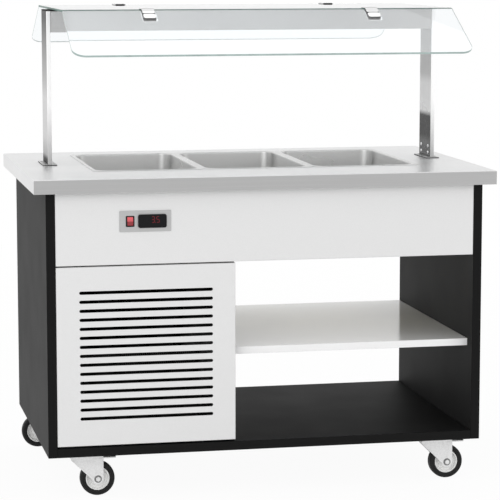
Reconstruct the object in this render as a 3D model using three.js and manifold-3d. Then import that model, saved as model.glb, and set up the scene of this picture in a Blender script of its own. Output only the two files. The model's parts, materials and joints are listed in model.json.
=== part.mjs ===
// Mobile refrigerated salad bar: a panelled cabinet on four swivel casters carries a worktop
// with a cold well for three food pans, and a glass guard on two flat posts.
//
// Millimetres. +X runs to the right, +Y to the back, +Z up, and the front faces -Y.
// The origin is on the floor, under the middle of the guard's depth and of the worktop's length.

import * as THREE from 'three';
import { mergeVertices } from 'three/addons/utils/BufferGeometryUtils.js';
import Module from 'manifold-3d';

// ---- Driving dimensions -------------------------------------------------------------------

const clearance = 0.3; // gap left between pieces that seat on each other

const worktopLength = 1340;
const worktopTop = 920; // height of the working surface above the floor
const worktopEdge = 40; // height of the turned-down edge
const worktopSheet = 2;

const panCount = 3;
const panWidth = 325; // gastronorm 1/1, laid with its length from front to back
const panLength = 530;
const panDepth = 150;
const panSheet = 1.2;
const panRim = 12; // width of the pan's flat rim
const panCorner = 36;
const panDraft = 8; // how far each wall leans in towards the bottom
const panRimCorner = 14;
const panPlay = 2; // gap between a pan's wall and what it hangs in
const wellOffset = 12; // the well and the guard sit this far right of the worktop's middle
const wellFrontMargin = 210; // worktop in front of the pans
const wellRearMargin = 100; // worktop behind the pans

const tubDepth = 185;
const tubSheet = 2;
const tubFlange = 20;
const ledgeDepth = 14;
const ledgeWidth = 30;
const ledgeSheet = 3;
const panBarHeight = 16;
const drainRadius = 14;
const drainWall = 2;
const drainLength = 55;
const insulationWall = 30;

const coilTube = 10; // outer diameter of the cooling coil
const coilRuns = 6;
const coilPitch = 80;
const coilMargin = 60; // from the tub's end wall to the coil's bends

const worktopOverhang = 35; // past each side of the cabinet
const carcassSetback = 24; // from the worktop's front edge to the cabinet's front
const carcassRearSetback = 38; // from the worktop's rear edge to the cabinet's back
const carcassBase = 127; // height of the cabinet's underside above the floor
const panelThickness = 26;
const dividerThickness = 18;
const machineBayWidth = 513; // inside the left side panel, up to the divider's right face
const shelfTop = 420;
const shelfThickness = 21;
const shelfSetback = 44;

const apronBottom = 674;
const traySheet = 2;
const trayDepth = 20;
const panelSeam = 4; // gap between the apron and the louvre panel
const louvreLift = 5; // gap under the louvre panel

const slotCount = 15;
const rearSlotCount = 4; // the lowest rows only, so that no sight line runs through both panels
const slotLength = 382;
const slotHeight = 9.3;
const slotPitch = 25.7;
const lowestSlot = 237; // height of the lowest slot's centre line

const guardHeight = 463; // worktop to the top of the glass
const glassThickness = 6;
const glassInset = 12.5; // from a post's middle to the end of the glass
const glassTopDepth = 560;
const wingOutreach = 230;
const wingDrop = 118;
const wingCorner = 38;
const glassJoint = 6; // gap between the top pane and a wing pane

const postInset = 83.5; // from a post's middle to the worktop's end, as the mean of both ends
const postWidth = 12.5;
const postDepth = 120;
const postWall = 1.5;
const footWidth = 42;
const footDepth = 132;
const footPlate = 3;
const footTongue = 60;
const seatThickness = 3;
const seatReach = 24; // how far the seat plate stands in from the post to carry the glass

const beamHeight = 62;
const beamWall = 1.5;
const diffuserThickness = 3;

const clampInset = 245; // from the end of the glass to a clamp's middle
const clampWidth = 44;
const clampPlate = 3;
const clampGripTop = 45;
const clampGripWing = 60;

const controlLeft = 207; // from the cabinet's left side to the control plate
const controlWidth = 147;
const controlHeight = 60;
const controlBottom = 766.5; // height of the plate's lower edge above the floor
const controlPlate = 1.5;
const switchInset = 18; // from the plate's left edge to the switch
const switchWidth = 24.5;
const switchHeight = 31;
const switchRim = 2.4;
const switchSideRim = 3.6; // the frame's rim left and right of the rocker
const switchProud = 2;
const switchBodyDepth = 24;
const rockerTilt = 6; // degrees each side of the middle
const rockerDepth = 12;
const rockerPivotDepth = 5.5;
const thermostatInset = 52.5; // from the plate's left edge to the thermostat
const thermostatWidth = 81.5;
const thermostatHeight = 38.5;
const thermostatProud = 6;
const thermostatCorner = 9;
const thermostatBodyWidth = 70;
const thermostatBodyHeight = 28;
const thermostatBodyDepth = 55;

const inletWidth = 50;
const inletHeight = 30;
const inletFlange = 6;
const inletDepth = 26;
const inletWall = 3;
const inletFromLeft = 285; // from the cabinet's left side to the inlet's middle
const inletLevel = 800;

const frontCasterInsetX = 115; // from the cabinet's side to a front caster's swivel axis
const frontCasterInsetY = 70; // from the cabinet's front to a front caster's swivel axis
const rearCasterInsetX = 84;
const rearCasterInsetY = 46;
const wheelRadius = 50;
const wheelWidth = 32;
const rimRadius = 34.5;
const casterTrail = 32;
const casterPlateX = 94;
const casterPlateY = 78;
const casterPlateThickness = 3;
const casterRaceRadius = 28;
const casterRaceHeight = 5;
const kingpinRadius = 6;
const kingpinHead = 10;
const kingpinHeadHeight = 4;
const forkSheet = 3;
const forkInner = 38; // between the fork's cheeks
const forkFront = 46; // from the swivel axis to the fork's leading edge
const forkBehindAxle = 16;
const axleRadius = 6;
const axleHeadRadius = 9;
const axleHeadHeight = 5;
const hexSides = 6;
const hubWall = 7;
const hubEndPlay = 2; // between the wheel's hub and each cheek
const webThickness = 8;
const rimWall = 5;
const rimInset = 3; // from the tyre's side to the rim's edge
const tyreShoulder = 4;
const pedalPinRadius = 2;
const pedalPinInset = 8; // from the fork's trailing edge to the pedal's pin
const pedalPinDrop = 8; // from the crown's underside to the pedal's pin
const pedalEyeRadius = 4.5;
const pedalLength = 46;
const pedalThickness = 4;
const pedalTread = 30;
const pedalPad = 14; // length of the raised pad at the pedal's end

const compressorRadius = 78;
const compressorHeight = 185;
const compressorDome = 30;
const compressorFoot = 190;
const compressorFootDepth = 150;
const compressorFootHeight = 8;
const compressorChamfer = 12; // the shell's bottom edge is cut in by this
const domeSteps = 6;

const condenserWidth = 340;
const condenserDepth = 44;
const condenserHeight = 270;
const condenserFins = 22;
const finThickness = 3;
const finSpine = 8;
const condenserGap = 14; // between the louvre panel and the condenser

const fanRadius = 112;
const fanBlades = 5;
const fanBladeWidth = 58;
const fanBladeSheet = 2.5;
const fanPitch = 28; // degrees
const fanHubRadius = 20;
const fanHubDepth = 24;
const fanGap = 22; // between the condenser and the hub
const motorRadius = 42;
const motorDepth = 62;
const shaftRadius = 4;
const shaftEnd = 8; // from the hub's front to the shaft's end
const bracketSheet = 3;
const bracketHeight = 24;
const bracketSpan = 300;
const bracketFoot = 20;

// Facets: a round solid has roundSegments sides, and an arc in a shape twice the given number.
const roundSegments = 24;
const cornerSegments = 3;
const slotSegments = 2;
const coilSegments = 4;
const coilBendSteps = 6;
const smallSegments = 12;

// ---- Places worked out from the dimensions above ------------------------------------------

const wellLength = panCount * panWidth;
const openingX = wellLength - 2 * panRim + 2 * panPlay;
const openingY = panLength - 2 * panRim + 2 * panPlay;
const worktopFront = -(panLength / 2 + wellFrontMargin);
const worktopDepth = wellFrontMargin + panLength + wellRearMargin;
const worktopMiddleY = worktopFront + worktopDepth / 2;
const underSheet = worktopTop - worktopSheet - clearance; // what stands under the worktop ends here

const carcassLength = worktopLength - 2 * worktopOverhang;
const carcassFront = worktopFront + carcassSetback;
const carcassDepth = worktopDepth - carcassSetback - carcassRearSetback;
const carcassBack = carcassFront + carcassDepth;
const carcassMiddleY = (carcassFront + carcassBack) / 2;
const innerLeft = -carcassLength / 2 + panelThickness + clearance;
const innerRight = carcassLength / 2 - panelThickness - clearance;
const innerBottom = carcassBase + panelThickness + clearance;
const machineBayRight = innerLeft + machineBayWidth;
const dividerLeft = machineBayRight - dividerThickness;

const tubFloor = worktopTop - tubDepth;
const coilLevel = tubFloor - tubSheet - clearance - coilTube / 2;
const insulationFloor = coilLevel - coilTube / 2 - clearance;
const insulationBase = insulationFloor - insulationWall;

const louvreBottom = innerBottom + louvreLift;
const louvreTop = apronBottom - panelSeam;

const postSpacing = worktopLength - 2 * postInset;
const glassLength = postSpacing - 2 * glassInset;
const clampSpacing = glassLength - 2 * clampInset;
const wingAngle = Math.atan2(wingDrop, wingOutreach);
const wingLength = Math.hypot(wingDrop, wingOutreach);
const postTop = guardHeight - glassThickness - seatThickness - 2 * clearance;
const postBase = footPlate + 2 * clearance;

// ---- Materials ----------------------------------------------------------------------------

function material(color, roughness, metalness, opacity = 1) {
  const transparent = opacity < 1;
  return new THREE.MeshStandardMaterial({ color, roughness, metalness, opacity, transparent });
}

const steel = material(0xd6d7d8, 0.32, 0.9);
const brightSteel = material(0xe6e7e8, 0.15, 1);
const panelWhite = material(0xe6e6e6, 0.45, 0.3);
const boardBlack = material(0x232323, 0.55, 0);
const plasticBlack = material(0x121212, 0.4, 0);
const plasticRed = material(0x9c1b16, 0.35, 0);
const plasticGrey = material(0x9a9d9f, 0.5, 0);
const rubberBlack = material(0x2b2c2d, 0.8, 0);
const zincSteel = material(0xb9bbbd, 0.35, 0.9);
const glassClear = material(0xcfe9e2, 0.05, 0, 0.35);
const diffuserWhite = material(0xf4f4f0, 0.6, 0);
const foamCream = material(0xe9e2c6, 0.9, 0);
const copper = material(0xb26a3f, 0.35, 0.9);
const aluminium = material(0xc9ccce, 0.4, 0.9);
const enamelBlack = material(0x1a1a1a, 0.45, 0.4);

// ---- Solid helpers ------------------------------------------------------------------------

const wasm = await Module();
wasm.setup();

function toManifold(geometry) {
  const bare = geometry.clone();
  bare.deleteAttribute('normal');
  bare.deleteAttribute('uv');
  const merged = mergeVertices(bare);
  const vertProperties = new Float32Array(merged.attributes.position.array);
  const triVerts = new Uint32Array(merged.index.array);
  return new wasm.Manifold(new wasm.Mesh({ numProp: 3, vertProperties, triVerts }));
}

function toGeometry(manifold) {
  const mesh = manifold.getMesh();
  const geometry = new THREE.BufferGeometry();
  geometry.setAttribute('position', new THREE.BufferAttribute(mesh.vertProperties, 3));
  geometry.setIndex(new THREE.BufferAttribute(mesh.triVerts, 1));
  const flat = geometry.toNonIndexed();
  flat.computeVertexNormals();
  return flat;
}

function join(...geometries) {
  const solids = geometries.map(toManifold);
  return toGeometry(solids.reduce((sum, solid) => sum.add(solid)));
}

function cut(geometry, ...tools) {
  const solids = tools.map(toManifold);
  return toGeometry(solids.reduce((rest, tool) => rest.subtract(tool), toManifold(geometry)));
}

// A box given by its low and high values along each axis.
function block([x0, x1], [y0, y1], [z0, z1]) {
  const geometry = new THREE.BoxGeometry(x1 - x0, y1 - y0, z1 - z0);
  return geometry.translate((x0 + x1) / 2, (y0 + y1) / 2, (z0 + z1) / 2);
}

// A box centred on the origin in X and Y, from z0 to z1.
function centredBlock(sizeX, sizeY, z0, z1) {
  return block([-sizeX / 2, sizeX / 2], [-sizeY / 2, sizeY / 2], [z0, z1]);
}

function roundedRectangle(sizeX, sizeY, radius) {
  const shape = new THREE.Shape();
  const x = sizeX / 2 - radius;
  const y = sizeY / 2 - radius;
  shape.absarc(x, y, radius, 0, Math.PI / 2);
  shape.absarc(-x, y, radius, Math.PI / 2, Math.PI);
  shape.absarc(-x, -y, radius, Math.PI, 1.5 * Math.PI);
  shape.absarc(x, -y, radius, 1.5 * Math.PI, 2 * Math.PI);
  return shape;
}

function extrude(shape, depth, curveSegments = cornerSegments) {
  return new THREE.ExtrudeGeometry(shape, { depth, bevelEnabled: false, curveSegments });
}

// A shape drawn in X and Z, with its thickness from yFront towards the back.
function extrudeAlongY(shape, yFront, thickness, curveSegments) {
  return extrude(shape, thickness, curveSegments).rotateX(Math.PI / 2).translate(0, yFront + thickness, 0);
}

function cylinderZ(radius, z0, z1, segments = roundSegments) {
  const geometry = new THREE.CylinderGeometry(radius, radius, z1 - z0, segments);
  return geometry.rotateX(Math.PI / 2).translate(0, 0, (z0 + z1) / 2);
}

function cylinderY(radius, y0, y1, segments = roundSegments) {
  return new THREE.CylinderGeometry(radius, radius, y1 - y0, segments).translate(0, (y0 + y1) / 2, 0);
}

// A faceted hole whose flats, not only its corners, clear a shaft of the given radius.
function boreRadius(shaft, segments = roundSegments) {
  return (shaft + clearance) / Math.cos(Math.PI / segments);
}

const bar = new THREE.Group();

function addMesh(parent, name, geometry, look, x = 0, y = 0, z = 0) {
  const mesh = new THREE.Mesh(geometry, look);
  mesh.name = name;
  mesh.position.set(x, y, z);
  parent.add(mesh);
  return mesh;
}

function addGroup(parent, x, y, z) {
  const group = new THREE.Group();
  group.position.set(x, y, z);
  parent.add(group);
  return group;
}

// ---- Cabinet ------------------------------------------------------------------------------

const sideHeight = underSheet - carcassBase;

function sidePanel() {
  return centredBlock(panelThickness, carcassDepth, 0, sideHeight);
}

const sideX = (carcassLength - panelThickness) / 2;
addMesh(bar, 'left_side_panel', sidePanel(), boardBlack, -sideX, carcassMiddleY, carcassBase);
addMesh(bar, 'right_side_panel', sidePanel(), boardBlack, sideX, carcassMiddleY, carcassBase);

const bottomPanel = centredBlock(innerRight - innerLeft, carcassDepth, 0, panelThickness);
addMesh(bar, 'bottom_panel', bottomPanel, boardBlack, 0, carcassMiddleY, carcassBase);

const dividerInset = trayDepth + clearance;
const dividerPanel = block(
  [dividerLeft, machineBayRight],
  [carcassFront + dividerInset, carcassBack - dividerInset],
  [innerBottom, insulationBase - clearance],
);
addMesh(bar, 'divider_panel', dividerPanel, boardBlack);

const shelf = block(
  [machineBayRight + clearance, innerRight],
  [carcassFront + shelfSetback, carcassBack],
  [shelfTop - shelfThickness, shelfTop],
);
addMesh(bar, 'shelf', shelf, panelWhite);

// A sheet panel with all four edges folded back. Its front face is at y = 0, facing -Y.
function foldedTray(width, height) {
  const outer = block([0, width], [0, trayDepth], [0, height]);
  const pocket = block(
    [traySheet, width - traySheet],
    [traySheet, trayDepth + 1],
    [traySheet, height - traySheet],
  );
  return cut(outer, pocket);
}

function slotShape(middleX, middleZ) {
  const shape = new THREE.Shape();
  const radius = slotHeight / 2;
  const reach = slotLength / 2 - radius;
  shape.absarc(middleX + reach, middleZ, radius, -Math.PI / 2, Math.PI / 2);
  shape.absarc(middleX - reach, middleZ, radius, Math.PI / 2, 1.5 * Math.PI);
  return shape;
}

const apronLength = innerRight - innerLeft;
const apronHeight = underSheet - apronBottom;
const machinePanelWidth = machineBayRight - innerLeft;
const machinePanelHeight = louvreTop - louvreBottom;

function louvrePanel(rows) {
  const slots = [];
  for (let i = 0; i < rows; i += 1) {
    const level = lowestSlot + i * slotPitch - louvreBottom;
    slots.push(extrudeAlongY(slotShape(machinePanelWidth / 2, level), -1, traySheet + 2, slotSegments));
  }
  return cut(foldedTray(machinePanelWidth, machinePanelHeight), ...slots);
}

const frontLouvre = addMesh(bar, 'front_louvre_panel', louvrePanel(slotCount), panelWhite);
frontLouvre.position.set(innerLeft, carcassFront, louvreBottom);

const rearLouvre = addMesh(bar, 'rear_louvre_panel', louvrePanel(rearSlotCount), panelWhite);
rearLouvre.rotation.z = Math.PI;
rearLouvre.position.set(machineBayRight, carcassBack, louvreBottom);

// ---- Control plate in the front apron -----------------------------------------------------

const controlX = -carcassLength / 2 + controlLeft;
const switchX = controlX + switchInset;
const switchZ = controlBottom + (controlHeight - switchHeight) / 2;
const switchInnerWidth = switchWidth - 2 * switchSideRim;
const switchInnerHeight = switchHeight - 2 * switchRim;
const thermostatMiddleX = controlX + thermostatInset + thermostatWidth / 2;
const controlMiddleZ = controlBottom + controlHeight / 2;
const plateFront = carcassFront - clearance - controlPlate;

// The hole that the switch's body or the thermostat's body passes through.
function bodyHole(middleX, width, height, y0, y1) {
  const grow = clearance;
  return block(
    [middleX - width / 2 - grow, middleX + width / 2 + grow],
    [y0, y1],
    [controlMiddleZ - height / 2 - grow, controlMiddleZ + height / 2 + grow],
  );
}

const switchMiddleX = switchX + switchWidth / 2;
const controlHoles = [
  bodyHole(switchMiddleX, switchInnerWidth + switchRim, switchInnerHeight + switchRim,
    plateFront - 1, carcassFront + traySheet + 1),
  bodyHole(thermostatMiddleX, thermostatBodyWidth, thermostatBodyHeight,
    plateFront - 1, carcassFront + traySheet + 1),
];

const frontApron = foldedTray(apronLength, apronHeight).translate(innerLeft, carcassFront, apronBottom);
addMesh(bar, 'front_apron', cut(frontApron, ...controlHoles), panelWhite);

const plate = block(
  [controlX, controlX + controlWidth],
  [plateFront, plateFront + controlPlate],
  [controlBottom, controlBottom + controlHeight],
);
addMesh(bar, 'control_plate', cut(plate, ...controlHoles), steel);

// The switch's frame: a rim in front of the plate and a box body behind it, open to the front.
const bezelBack = plateFront - clearance;
const bezelFront = bezelBack - switchProud;
const bezelRim = block(
  [switchX, switchX + switchWidth],
  [bezelFront, bezelBack],
  [switchZ, switchZ + switchHeight],
);
const bezelBodyHalfX = (switchInnerWidth + switchRim) / 2;
const bezelBodyHalfZ = (switchInnerHeight + switchRim) / 2;
const bezelBody = block(
  [switchMiddleX - bezelBodyHalfX, switchMiddleX + bezelBodyHalfX],
  [bezelBack - 1, bezelBack + switchBodyDepth],
  [controlMiddleZ - bezelBodyHalfZ, controlMiddleZ + bezelBodyHalfZ],
);
const bezelHollow = block(
  [switchMiddleX - switchInnerWidth / 2, switchMiddleX + switchInnerWidth / 2],
  [bezelFront - 1, bezelBack + switchBodyDepth - switchRim],
  [controlMiddleZ - switchInnerHeight / 2, controlMiddleZ + switchInnerHeight / 2],
);
addMesh(bar, 'switch_bezel', cut(join(bezelRim, bezelBody), bezelHollow), plasticBlack);

// The rocker: two front faces that meet in a ridge over its pivot, drawn in Y and Z.
const rockerAngle = THREE.MathUtils.degToRad(rockerTilt);
const rockerReach = switchInnerHeight / 2 - clearance - rockerPivotDepth * Math.sin(rockerAngle);
const rockerHalf = rockerReach / Math.cos(rockerAngle);
const rockerRise = rockerHalf * Math.tan(rockerAngle);
const rockerBack = rockerDepth - rockerPivotDepth;
const rockerBase = rockerHalf - rockerDepth * Math.tan(2 * rockerAngle);
const rockerShape = new THREE.Shape([
  new THREE.Vector2(-rockerPivotDepth, -rockerHalf),
  new THREE.Vector2(rockerBack, -rockerBase),
  new THREE.Vector2(rockerBack, rockerBase),
  new THREE.Vector2(-rockerPivotDepth, rockerHalf),
  new THREE.Vector2(-rockerPivotDepth - rockerRise, 0),
]);
const rockerWidth = switchInnerWidth - 2 * clearance;
const alongX = new THREE.Matrix4().makeBasis(
  new THREE.Vector3(0, 1, 0),
  new THREE.Vector3(0, 0, 1),
  new THREE.Vector3(1, 0, 0),
);
const rocker = extrude(rockerShape, rockerWidth).applyMatrix4(alongX).translate(-rockerWidth / 2, 0, 0);
const rockerMesh = addMesh(bar, 'switch_rocker', rocker, plasticRed);
rockerMesh.position.set(switchMiddleX, bezelFront + rockerPivotDepth, controlMiddleZ);
rockerMesh.rotation.x = -rockerAngle;

const thermostatFace = extrudeAlongY(
  roundedRectangle(thermostatWidth, thermostatHeight, thermostatCorner),
  plateFront - clearance - thermostatProud,
  thermostatProud,
);
const thermostatBody = block(
  [-thermostatBodyWidth / 2, thermostatBodyWidth / 2],
  [plateFront - 1, plateFront + thermostatBodyDepth],
  [-thermostatBodyHeight / 2, thermostatBodyHeight / 2],
);
const thermostat = join(thermostatFace, thermostatBody);
addMesh(bar, 'thermostat', thermostat, plasticBlack, thermostatMiddleX, 0, controlMiddleZ);

// ---- Rear apron with the power inlet ------------------------------------------------------

const inletX = -carcassLength / 2 + inletFromLeft;
const inletHole = centredBlock(inletWidth + 2 * clearance, trayDepth, 0, inletHeight + 2 * clearance)
  .translate(inletX, carcassBack, inletLevel - inletHeight / 2 - clearance);
const rearApron = foldedTray(apronLength, apronHeight)
  .rotateZ(Math.PI)
  .translate(innerRight, carcassBack, apronBottom);
addMesh(bar, 'rear_apron', cut(rearApron, inletHole), panelWhite);

const inletFace = carcassBack + clearance;
const inlet = cut(
  join(
    block(
      [-inletWidth / 2 - inletFlange, inletWidth / 2 + inletFlange],
      [inletFace, inletFace + inletWall],
      [-inletHeight / 2 - inletFlange, inletHeight / 2 + inletFlange],
    ),
    block(
      [-inletWidth / 2, inletWidth / 2],
      [inletFace - inletDepth, inletFace + 1],
      [-inletHeight / 2, inletHeight / 2],
    ),
  ),
  block(
    [-inletWidth / 2 + inletWall, inletWidth / 2 - inletWall],
    [inletFace - inletDepth + inletWall, inletFace + inletWall + 1],
    [-inletHeight / 2 + inletWall, inletHeight / 2 - inletWall],
  ),
);
addMesh(bar, 'power_inlet', inlet, plasticBlack, inletX, 0, inletLevel);

// ---- Worktop and cold well ----------------------------------------------------------------

const worktopInnerX = worktopLength - 2 * worktopSheet;
const worktopInnerY = worktopDepth - 2 * worktopSheet;
const worktopShell = cut(
  centredBlock(worktopLength, worktopDepth, -worktopEdge, 0),
  centredBlock(worktopInnerX, worktopInnerY, -worktopEdge - 1, -worktopSheet),
  centredBlock(openingX, openingY, -worktopEdge, 1).translate(wellOffset, -worktopMiddleY, 0),
);
addMesh(bar, 'worktop', worktopShell, steel, 0, worktopMiddleY, worktopTop);

const well = addGroup(bar, wellOffset, 0, 0);
const ledgeLevel = worktopTop - panBarHeight - clearance;
const drainX = -(openingX / 2 - coilMargin / 2);
const tubOuter = centredBlock(
  openingX + 2 * tubSheet,
  openingY + 2 * tubSheet,
  tubFloor - tubSheet,
  underSheet,
);
const tubRim = centredBlock(
  openingX + 2 * (tubSheet + tubFlange),
  openingY + 2 * (tubSheet + tubFlange),
  underSheet - tubSheet,
  underSheet,
);
const tubSpout = cylinderZ(drainRadius + drainWall, tubFloor - drainLength, tubFloor - tubSheet / 2)
  .translate(drainX, 0, 0);
const tubHollow = centredBlock(openingX, openingY, tubFloor, worktopTop);
const tubDrain = cylinderZ(drainRadius, tubFloor - drainLength - 1, tubFloor + 1).translate(drainX, 0, 0);
const ledges = [];
for (let seam = 1; seam < panCount; seam += 1) {
  const x = -wellLength / 2 + seam * panWidth;
  for (const side of [-1, 1]) {
    const outerY = side * (openingY / 2 + tubSheet / 2);
    const innerY = side * (openingY / 2 - ledgeDepth);
    ledges.push(block(
      [x - ledgeWidth / 2, x + ledgeWidth / 2],
      [Math.min(outerY, innerY), Math.max(outerY, innerY)],
      [ledgeLevel - ledgeSheet, ledgeLevel],
    ));
  }
}
const tubShell = cut(join(tubOuter, tubRim, tubSpout), tubHollow, tubDrain);
addMesh(well, 'well_tub', join(tubShell, ...ledges), steel);

const insulationInnerX = openingX + 2 * (tubSheet + clearance);
const insulationInnerY = openingY + 2 * (tubSheet + clearance);
const insulationTop = underSheet - tubSheet - clearance;
const insulation = cut(
  centredBlock(insulationInnerX + 2 * insulationWall, insulationInnerY + 2 * insulationWall,
    insulationBase, insulationTop),
  centredBlock(insulationInnerX, insulationInnerY, insulationFloor, insulationTop + 1),
  cylinderZ(boreRadius(drainRadius + drainWall), insulationBase - 1, insulationFloor + 1)
    .translate(drainX, 0, 0),
);
addMesh(well, 'well_insulation', insulation, foamCream);

// A path given by its points, one step of the sweep for each, so straight runs take one step.
class StepPath extends THREE.Curve {
  constructor(points) {
    super();
    this.points = points;
  }

  getPoint(t) {
    const place = t * (this.points.length - 1);
    const index = Math.min(Math.floor(place), this.points.length - 2);
    return this.points[index].clone().lerp(this.points[index + 1], place - index);
  }

  getPointAt(u) {
    return this.getPoint(u);
  }

  getTangentAt(u) {
    const step = 0.5 / (this.points.length - 1);
    const before = this.getPoint(Math.max(u - step, 0));
    const after = this.getPoint(Math.min(u + step, 1));
    return after.sub(before).normalize();
  }
}

// The coil lies under the tub's floor: straight runs along X joined by half-round bends.
function coilPoints() {
  const points = [];
  const bend = coilPitch / 2;
  const endX = openingX / 2 - coilMargin - bend;
  for (let run = 0; run < coilRuns; run += 1) {
    const direction = run % 2 === 0 ? 1 : -1;
    const y = (run - (coilRuns - 1) / 2) * coilPitch;
    points.push(new THREE.Vector3(-direction * endX, y, 0));
    points.push(new THREE.Vector3(direction * endX, y, 0));
    if (run === coilRuns - 1) break;
    for (let step = 1; step < coilBendSteps; step += 1) {
      const angle = (step / coilBendSteps) * Math.PI;
      const x = direction * (endX + bend * Math.sin(angle));
      points.push(new THREE.Vector3(x, y + bend - bend * Math.cos(angle), 0));
    }
  }
  return points;
}

const coilPath = new StepPath(coilPoints());
const coilSection = new THREE.Shape();
coilSection.absarc(0, 0, coilTube / 2, 0, 2 * Math.PI);
const coil = new THREE.ExtrudeGeometry(coilSection, {
  steps: coilPath.points.length - 1,
  extrudePath: coilPath,
  curveSegments: coilSegments,
});
addMesh(well, 'evaporator_coil', coil, copper, 0, 0, coilLevel);

const panBarWidth = 2 * (panRim - panPlay);
for (const [name, side] of [['pan_bar_left', -1], ['pan_bar_right', 1]]) {
  const panBar = centredBlock(panBarWidth, openingY - 2 * clearance, -panBarHeight, 0);
  addMesh(well, name, panBar, steel, (side * panWidth) / 2, 0, worktopTop);
}

// A tapered tray with round corners, from its top at z = 0 down to the given depth.
function taperedBasin(sizeX, sizeY, radius, depth) {
  const geometry = extrude(roundedRectangle(sizeX, sizeY, radius), depth).translate(0, 0, -depth);
  const position = geometry.attributes.position;
  for (let i = 0; i < position.count; i += 1) {
    if (position.getZ(i) < -depth / 2) {
      position.setX(i, position.getX(i) * (1 - (2 * panDraft) / sizeX));
      position.setY(i, position.getY(i) * (1 - (2 * panDraft) / sizeY));
    }
  }
  return geometry;
}

function foodPan() {
  const bodyX = panWidth - 2 * panRim;
  const bodyY = panLength - 2 * panRim;
  const rimShape = roundedRectangle(panWidth - 2 * clearance, panLength, panRimCorner);
  const rim = extrude(rimShape, panSheet);
  const outer = taperedBasin(bodyX, bodyY, panCorner, panDepth).translate(0, 0, panSheet);
  const inner = taperedBasin(bodyX - 2 * panSheet, bodyY - 2 * panSheet, panCorner - panSheet, panDepth)
    .translate(0, 0, 2 * panSheet);
  const mouth = extrude(
    roundedRectangle(bodyX - 2 * panSheet, bodyY - 2 * panSheet, panCorner - panSheet),
    3 * panSheet,
  );
  return cut(join(rim, outer), inner, mouth);
}

const panNames = ['pan_left', 'pan_middle', 'pan_right'];
for (let i = 0; i < panCount; i += 1) {
  const x = (i - (panCount - 1) / 2) * panWidth;
  addMesh(well, panNames[i], foodPan(), steel, x, 0, worktopTop + clearance);
}

// ---- Glass guard --------------------------------------------------------------------------

const guard = addGroup(bar, wellOffset, 0, worktopTop);

function postTube() {
  const outer = centredBlock(postWidth, postDepth, postBase, postTop);
  const inner = centredBlock(postWidth - 2 * postWall, postDepth - 2 * postWall, postBase - 1, postTop + 1);
  return cut(outer, inner);
}

// The foot's plate is fixed to the worktop, and its tongue stands inside the post.
function postFoot() {
  const tongueX = postWidth - 2 * (postWall + clearance);
  const tongueY = postDepth - 2 * (postWall + clearance);
  return join(
    centredBlock(footWidth, footDepth, clearance, clearance + footPlate),
    centredBlock(tongueX, tongueY, footPlate / 2, footPlate + footTongue),
  );
}

function glassSeat(side) {
  const outer = (side * postWidth) / 2;
  const inner = -side * (postWidth / 2 + seatReach);
  return block(
    [Math.min(outer, inner), Math.max(outer, inner)],
    [-postDepth / 2, postDepth / 2],
    [0, seatThickness],
  );
}

for (const [label, side] of [['left', -1], ['right', 1]]) {
  const x = (side * postSpacing) / 2;
  addMesh(guard, `guard_post_${label}`, postTube(), steel, x);
  addMesh(guard, `post_foot_${label}`, postFoot(), steel, x);
  addMesh(guard, `glass_seat_${label}`, glassSeat(side), rubberBlack, x, 0, postTop + clearance);
}

const beamLength = postSpacing - postWidth - 2 * clearance;
const beamBottom = postTop - beamHeight;
const beam = cut(
  centredBlock(beamLength, postDepth, beamBottom, postTop),
  centredBlock(beamLength - 2 * beamWall, postDepth - 2 * beamWall, beamBottom - 1, postTop - beamWall),
);
addMesh(guard, 'light_beam', beam, steel);

const diffuserLength = beamLength - 2 * (beamWall + clearance);
const diffuserDepth = postDepth - 2 * (beamWall + clearance);
const diffuser = centredBlock(diffuserLength, diffuserDepth, beamBottom, beamBottom + diffuserThickness);
addMesh(guard, 'light_diffuser', diffuser, diffuserWhite);

const glassMiddle = guardHeight - glassThickness / 2;
const halfGlass = glassThickness / 2;
const topPane = centredBlock(glassLength, glassTopDepth, -halfGlass, halfGlass);
addMesh(guard, 'glass_top', topPane, glassClear, 0, 0, glassMiddle);

// A wing pane in its own plane: its upper edge is at y = 0, and it reaches down to y = -length.
function wingShape() {
  const shape = new THREE.Shape();
  const x = glassLength / 2;
  shape.moveTo(x, 0);
  shape.lineTo(-x, 0);
  shape.absarc(-x + wingCorner, -wingLength + wingCorner, wingCorner, Math.PI, 1.5 * Math.PI);
  shape.absarc(x - wingCorner, -wingLength + wingCorner, wingCorner, 1.5 * Math.PI, 2 * Math.PI);
  return shape;
}

// A clamp holds the top pane's edge and a wing pane's edge in two slots. Its origin is on the
// top pane's edge, in the middle of the glass thickness, and it faces -Y.
function glassClamp() {
  const height = halfGlass + clearance + clampPlate;
  const slot = halfGlass + clearance;
  const width = [-clampWidth / 2, clampWidth / 2];
  const wide = [-clampWidth, clampWidth];
  const topArm = block(width, [-glassJoint, clampGripTop], [-height, height]);
  const wingArm = block(width, [-clampGripWing, clampPlate], [-height, height])
    .rotateX(wingAngle)
    .translate(0, -glassJoint, 0);
  const topSlot = block(wide, [-clearance, clampGripTop + 1], [-slot, slot]);
  const wingSlot = block(wide, [-clampGripWing - 1, clearance], [-slot, slot])
    .rotateX(wingAngle)
    .translate(0, -glassJoint, 0);
  return cut(join(topArm, wingArm), topSlot, wingSlot);
}

for (const [label, turn] of [['front', 0], ['rear', Math.PI]]) {
  const edge = addGroup(guard, 0, 0, glassMiddle);
  edge.rotation.z = turn;
  const wing = addMesh(edge, `glass_${label}`, extrude(wingShape(), glassThickness), glassClear);
  wing.geometry.translate(0, 0, -halfGlass);
  wing.position.set(0, -glassTopDepth / 2 - glassJoint, 0);
  wing.rotation.x = wingAngle;
  for (const [sideLabel, side] of [['left', -1], ['right', 1]]) {
    const x = (Math.cos(turn) * side * clampSpacing) / 2;
    addMesh(edge, `clamp_${label}_${sideLabel}`, glassClamp(), brightSteel, x, -glassTopDepth / 2);
  }
}

// ---- Refrigeration unit -------------------------------------------------------------------

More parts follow.
